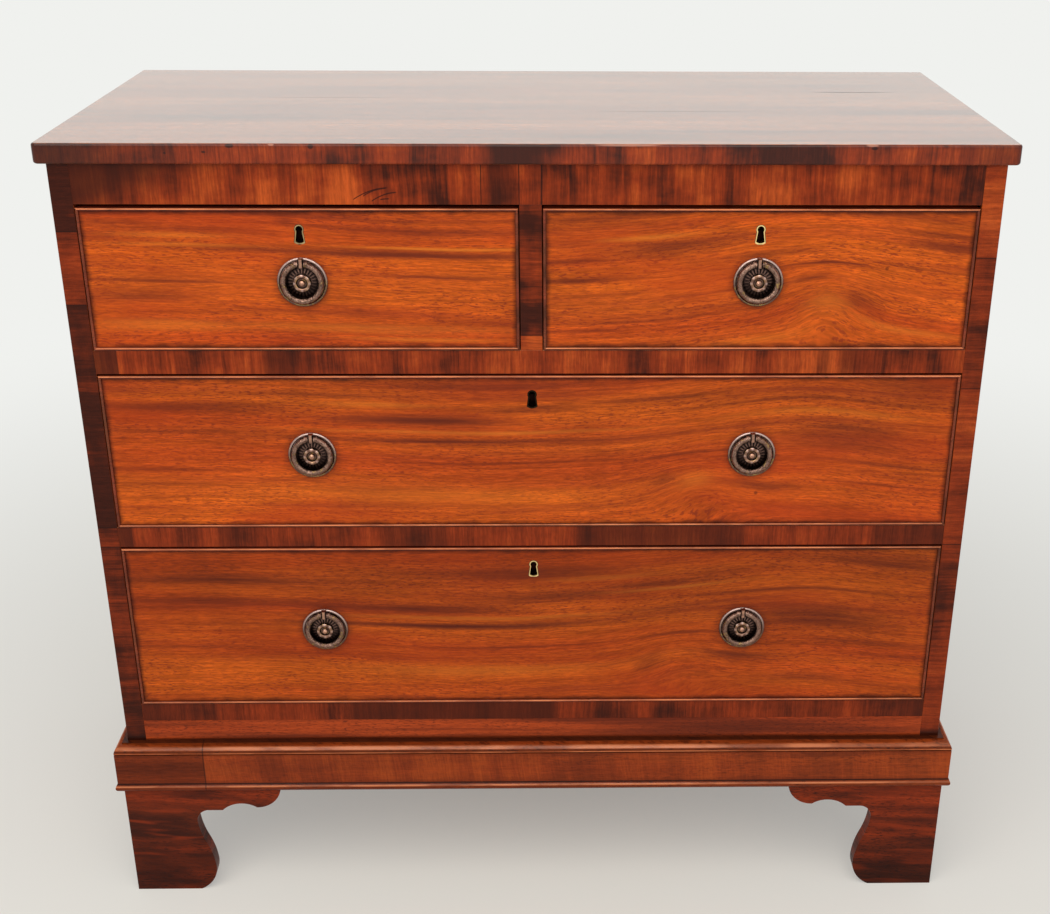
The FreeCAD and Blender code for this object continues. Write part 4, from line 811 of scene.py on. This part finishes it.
def ring_material():
    """Rings with a chased pattern: darker in its hollows and rubbed on its high spots."""
    g = Graph("ring_bronze")
    place = g.vector(g.x, g.y, g.z)
    patches = g.noise(place, (170.0, 170.0, 170.0), 103, detail=4.0)
    chased = g.cells(place, (620.0, 620.0, 620.0), 104)[0]
    colour = g.mix(g.step(patches, 0.35, 0.6), BRONZE_RED, BRONZE)
    colour = g.mix(g.step(patches, 0.56, 0.72, 0.0, 0.8), colour, GILT)
    colour = g.stain(colour, g.step(chased, 0.5, 1.0), 0.75, BRONZE_DARK)
    g.set(Base_Color=colour, Metallic=1.0, Roughness=g.step(patches, 0.3, 0.7, 0.32, 0.46),
          Normal=g.bump(g.subtract(patches, g.multiply(chased, 0.8)), 0.0006))
    return g.material


def from_keyhole(g, across, up):
    """How far a place on a drawer's face lies outside its keyhole."""
    above_head = g.subtract(up, KEYHOLE_HEAD)
    to_middle = g.math("SQRT", g.add(g.multiply(across, across), g.multiply(above_head, above_head)))
    from_round = g.subtract(to_middle, KEYHOLE_ROUND_RADIUS)
    spread = (KEYHOLE_HALF_BASE - KEYHOLE_HALF_WAIST) / (KEYHOLE_HEAD - KEYHOLE_FOOT)
    half_width = g.subtract(KEYHOLE_HALF_WAIST, g.multiply(above_head, spread))
    from_taper = g.largest(g.subtract(g.size(across), half_width), g.subtract(KEYHOLE_FOOT, up))
    return g.math("MINIMUM", from_round, g.largest(from_taper, above_head))


def lock_material(name, brightness, shade):
    """Brass lock and keyhole liner, with painted shade inside the keyhole."""
    g = Graph(name + "_brass")
    place = g.vector(g.x, g.y, g.z)
    low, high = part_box(name + "_front")
    away = from_keyhole(g, g.subtract(g.x, (low.x + high.x) / 2), g.subtract(g.z, high.z - KEYHOLE_DROP))
    patches = g.noise(place, (180.0, 180.0, 180.0), 105, detail=3.0)
    colour = g.mix(g.step(patches, 0.3, 0.7, brightness - 0.2, brightness + 0.1), BRASS_DULL, BRASS)
    near_keyhole = g.step(away, *LINER_END)
    behind = g.subtract(g.y, low.y)
    liner = g.multiply(g.step(behind, *LINER_DEPTH), near_keyhole)
    # The liner's colour times its shade; near-black on the upper long drawer as painted shade of a bare hole.
    colour = g.shade(colour, g.add(1.0, g.multiply(liner, shade - 1.0)))
    outline = g.step(away, LINER_BRIGHT_WIDTH - 0.0001, LINER_BRIGHT_WIDTH + 0.0001)
    colour = g.stain(colour, g.multiply(outline, liner), 0.9, NEAR_BLACK)
    # Painted shade inside the keyhole.
    inside = g.multiply(g.step(behind, *HOLE_DARK_START), g.step(behind, *HOLE_DARK_END))
    colour = g.mix(g.multiply(inside, near_keyhole), colour, NEAR_BLACK)
    g.set(Base_Color=colour, Metallic=1.0, Roughness=g.step(patches, 0.3, 0.7, 0.45, 0.25),
          Normal=g.bump(patches, 0.0002))
    return g.material


def dress(node, material):
    """Gives a CAD node its material and softens its edges."""
    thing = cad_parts[node]
    thing.data.materials.clear()
    thing.data.materials.append(material)
    width = EDGE_WIDTHS.get(node, 0.0)
    if width:
        weld(thing)
        bevel = thing.modifiers.new("soft_edges", "BEVEL")
        bevel.limit_method = "ANGLE"
        bevel.angle_limit = math.radians(EDGE_ANGLE)
        bevel.width = width
        bevel.segments = 2


def weld(thing):
    """Joins the faces of a CAD node at their shared edges."""
    modifier = thing.modifiers.new("weld", "WELD")
    modifier.merge_threshold = WELD_DISTANCE


def chase(thing, pattern):
    """Cuts a shallow pattern into a ring, inwards only, so that its pins stay clear of the lug."""
    weld(thing)
    carve = thing.modifiers.new("chasing", "DISPLACE")
    carve.texture = pattern
    carve.texture_coords = "LOCAL"
    carve.mid_level = 1.0
    carve.strength = CHASING_DEPTH


oak_along = bare_wood("oak_along", OAK, OAK_DARK, 131, "y")
oak_across = bare_wood("oak_across", OAK, OAK_DARK, 135, "x")
pine_along = bare_wood("pine_along", PINE, PINE_DARK, 141, "y")
pine_across = bare_wood("pine_across", PINE, PINE_DARK, 145, "x")
pine_upright = bare_wood("pine_upright", PINE, PINE_DARK, 149, "z")

for name in DRAWERS:
    lock = lock_material(name, LINER_BRIGHTNESS[name], LINER_SHADES[name])
    dress(name + "_front", drawer_veneer(name, FIGURE_SEEDS[name]))
    dress(name + "_cock_beads", bead_material(name))
    dress(name + "_sides", oak_along)
    dress(name + "_back", oak_across)
    dress(name + "_bottom", oak_across)
    dress(name + "_lock", lock)
    dress(name + "_lock_bolt", lock)
    dress(name + "_handle_plates", plate_material(name))
bronze = ring_material()
chasing = bpy.data.textures.new("chasing", "VORONOI")
chasing.noise_scale = CHASING_SIZE
for name in RINGS:
    dress(name, bronze)
    chase(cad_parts[name], chasing)

dress("top_board", top_material())
for name in ("left_side", "right_side"):
    dress(name, side_material(name))
for index, name in enumerate(RAILS):
    dress(name, rail_material(name, 71 + 7 * index, RAIL_SHIFTS[name], RAIL_SPREADS[name]))
dress("centre_muntin", muntin_material())
dress("base_strip", strip_material())
plinth = plinth_material()
for name in PLINTH_PIECES:
    dress(name, plinth)
foot = foot_material()
for name in FEET:
    dress(name, foot)
for name in ("drawer_runners", "kickers"):
    dress(name, pine_along)
for name in ("bottom_board", "drawer_stops"):
    dress(name, pine_across)
for name in ("back_boards", "glue_blocks"):
    dress(name, pine_upright)


# Stage, light and camera
# The floor: half its size, how far out it has faded to the backdrop, and its share of glow in the middle
FLOOR_REACH = 30.0
FADE_END = 2.2
FLOOR_GLOW = 0.3
FLOOR_COLOUR = tone(236, 230, 220)
BACKDROP_COLOUR = tone(240, 241, 238)
WORLD_LIGHT = 0.42
# Lamps: place, target, size across and up, power in watts, and colour
LAMPS = {
    "key": ((-0.45, -1.75, 2.35), (0, -0.1, 0.5), (3.0, 2.2), 49, (1.0, 0.97, 0.93)),
    "fill": ((2.1, -2.2, 1.9), (0, 0, 0.5), (3.0, 3.0), 14, (0.97, 0.98, 1.0)),
}
# The camera that was fitted to the photo: lengths in its pixels, then its place, and its angles in radians
IMAGE_WIDTH = 1050
IMAGE_HEIGHT = 914
FOCAL_PIXELS = 1520.0
AXIS_PIXEL = (582.4, 517.2)
CAMERA_PLACE = (0.0196, -1.6844, 1.1700)
CAMERA_TILT = 0.43654
CAMERA_TURN = -0.02244
CAMERA_ROLL = 0.00644
SENSOR_WIDTH = 36.0


def seen_directly(tree):
    """1 for rays from the camera or off gloss and glass, 0 for rays of soft light."""
    path = tree.nodes.new("ShaderNodeLightPath")
    found = path.outputs["Is Camera Ray"]
    for name in ("Is Glossy Ray", "Is Transmission Ray"):
        either = tree.nodes.new("ShaderNodeMath")
        either.operation = "MAXIMUM"
        tree.links.new(found, either.inputs[0])
        tree.links.new(path.outputs[name], either.inputs[1])
        found = either.outputs[0]
    return found


def make_floor():
    """A pale floor that takes the shadow near the chest and fades to the backdrop's colour."""
    mesh = bpy.data.meshes.new("floor")
    r = FLOOR_REACH
    mesh.from_pydata([(-r, -r, 0), (r, -r, 0), (r, r, 0), (-r, r, 0)], [], [(0, 1, 2, 3)])
    floor = bpy.data.objects.new("floor", mesh)
    bpy.context.scene.collection.objects.link(floor)
    g = Graph("floor_paper")
    g.set(Base_Color=FLOOR_COLOUR, Roughness=0.9, Specular_IOR_Level=0.0)
    away = g.math("SQRT", g.add(g.math("POWER", g.x, 2.0), g.math("POWER", g.y, 2.0)))
    far = g.multiply(g.step(away, 0.0, FADE_END, FLOOR_GLOW, 1.0), seen_directly(g.tree))
    glow = g.node("ShaderNodeEmission")
    glow.inputs["Color"].default_value = BACKDROP_COLOUR
    blend = g.node("ShaderNodeMixShader")
    g.feed(blend.inputs[0], far)
    g.feed(blend.inputs[1], g.shader.outputs[0])
    g.feed(blend.inputs[2], glow.outputs[0])
    output = next(node for node in g.tree.nodes if node.type == "OUTPUT_MATERIAL")
    g.feed(output.inputs["Surface"], blend.outputs[0])
    mesh.materials.append(g.material)


def make_world():
    """An even backdrop, dimmer as a source of soft light than it looks."""
    world = bpy.data.worlds.new("studio")
    bpy.context.scene.world = world
    world.use_nodes = True
    tree = world.node_tree
    tree.nodes.clear()
    output = tree.nodes.new("ShaderNodeOutputWorld")
    blend = tree.nodes.new("ShaderNodeMixShader")
    tree.links.new(seen_directly(tree), blend.inputs[0])
    for socket, strength in ((1, WORLD_LIGHT), (2, 1.0)):
        background = tree.nodes.new("ShaderNodeBackground")
        background.inputs["Color"].default_value = BACKDROP_COLOUR
        background.inputs["Strength"].default_value = strength
        tree.links.new(background.outputs[0], blend.inputs[socket])
    tree.links.new(blend.outputs[0], output.inputs["Surface"])


def make_lamp(name, place, target, size, power, colour):
    """A large soft lamp that faces its target."""
    data = bpy.data.lights.new(name, "AREA")
    data.shape = "RECTANGLE"
    data.size, data.size_y = size
    data.energy = power
    data.color = colour
    lamp = bpy.data.objects.new(name, data)
    lamp.location = place
    lamp.rotation_euler = (Vector(target) - Vector(place)).to_track_quat("-Z", "Y").to_euler()
    bpy.context.scene.collection.objects.link(lamp)


def make_camera():
    """The photo's camera, with its axis off the middle of the picture."""
    data = bpy.data.cameras.new("camera")
    data.sensor_width = SENSOR_WIDTH
    data.lens = FOCAL_PIXELS / IMAGE_WIDTH * data.sensor_width
    data.shift_x = (IMAGE_WIDTH / 2 - AXIS_PIXEL[0]) / IMAGE_WIDTH
    data.shift_y = (AXIS_PIXEL[1] - IMAGE_HEIGHT / 2) / IMAGE_WIDTH
    camera = bpy.data.objects.new("camera", data)
    turn = Matrix.Rotation(CAMERA_TURN, 4, "Z")
    tilt = Matrix.Rotation(math.pi / 2 - CAMERA_TILT, 4, "X")
    roll = Matrix.Rotation(CAMERA_ROLL, 4, "Z")
    camera.matrix_world = Matrix.Translation(CAMERA_PLACE) @ turn @ tilt @ roll
    bpy.context.scene.collection.objects.link(camera)
    bpy.context.scene.camera = camera


make_floor()
make_world()
for name, settings in LAMPS.items():
    make_lamp(name, *settings)
make_camera()
bpy.context.scene.view_settings.view_transform = "Standard"
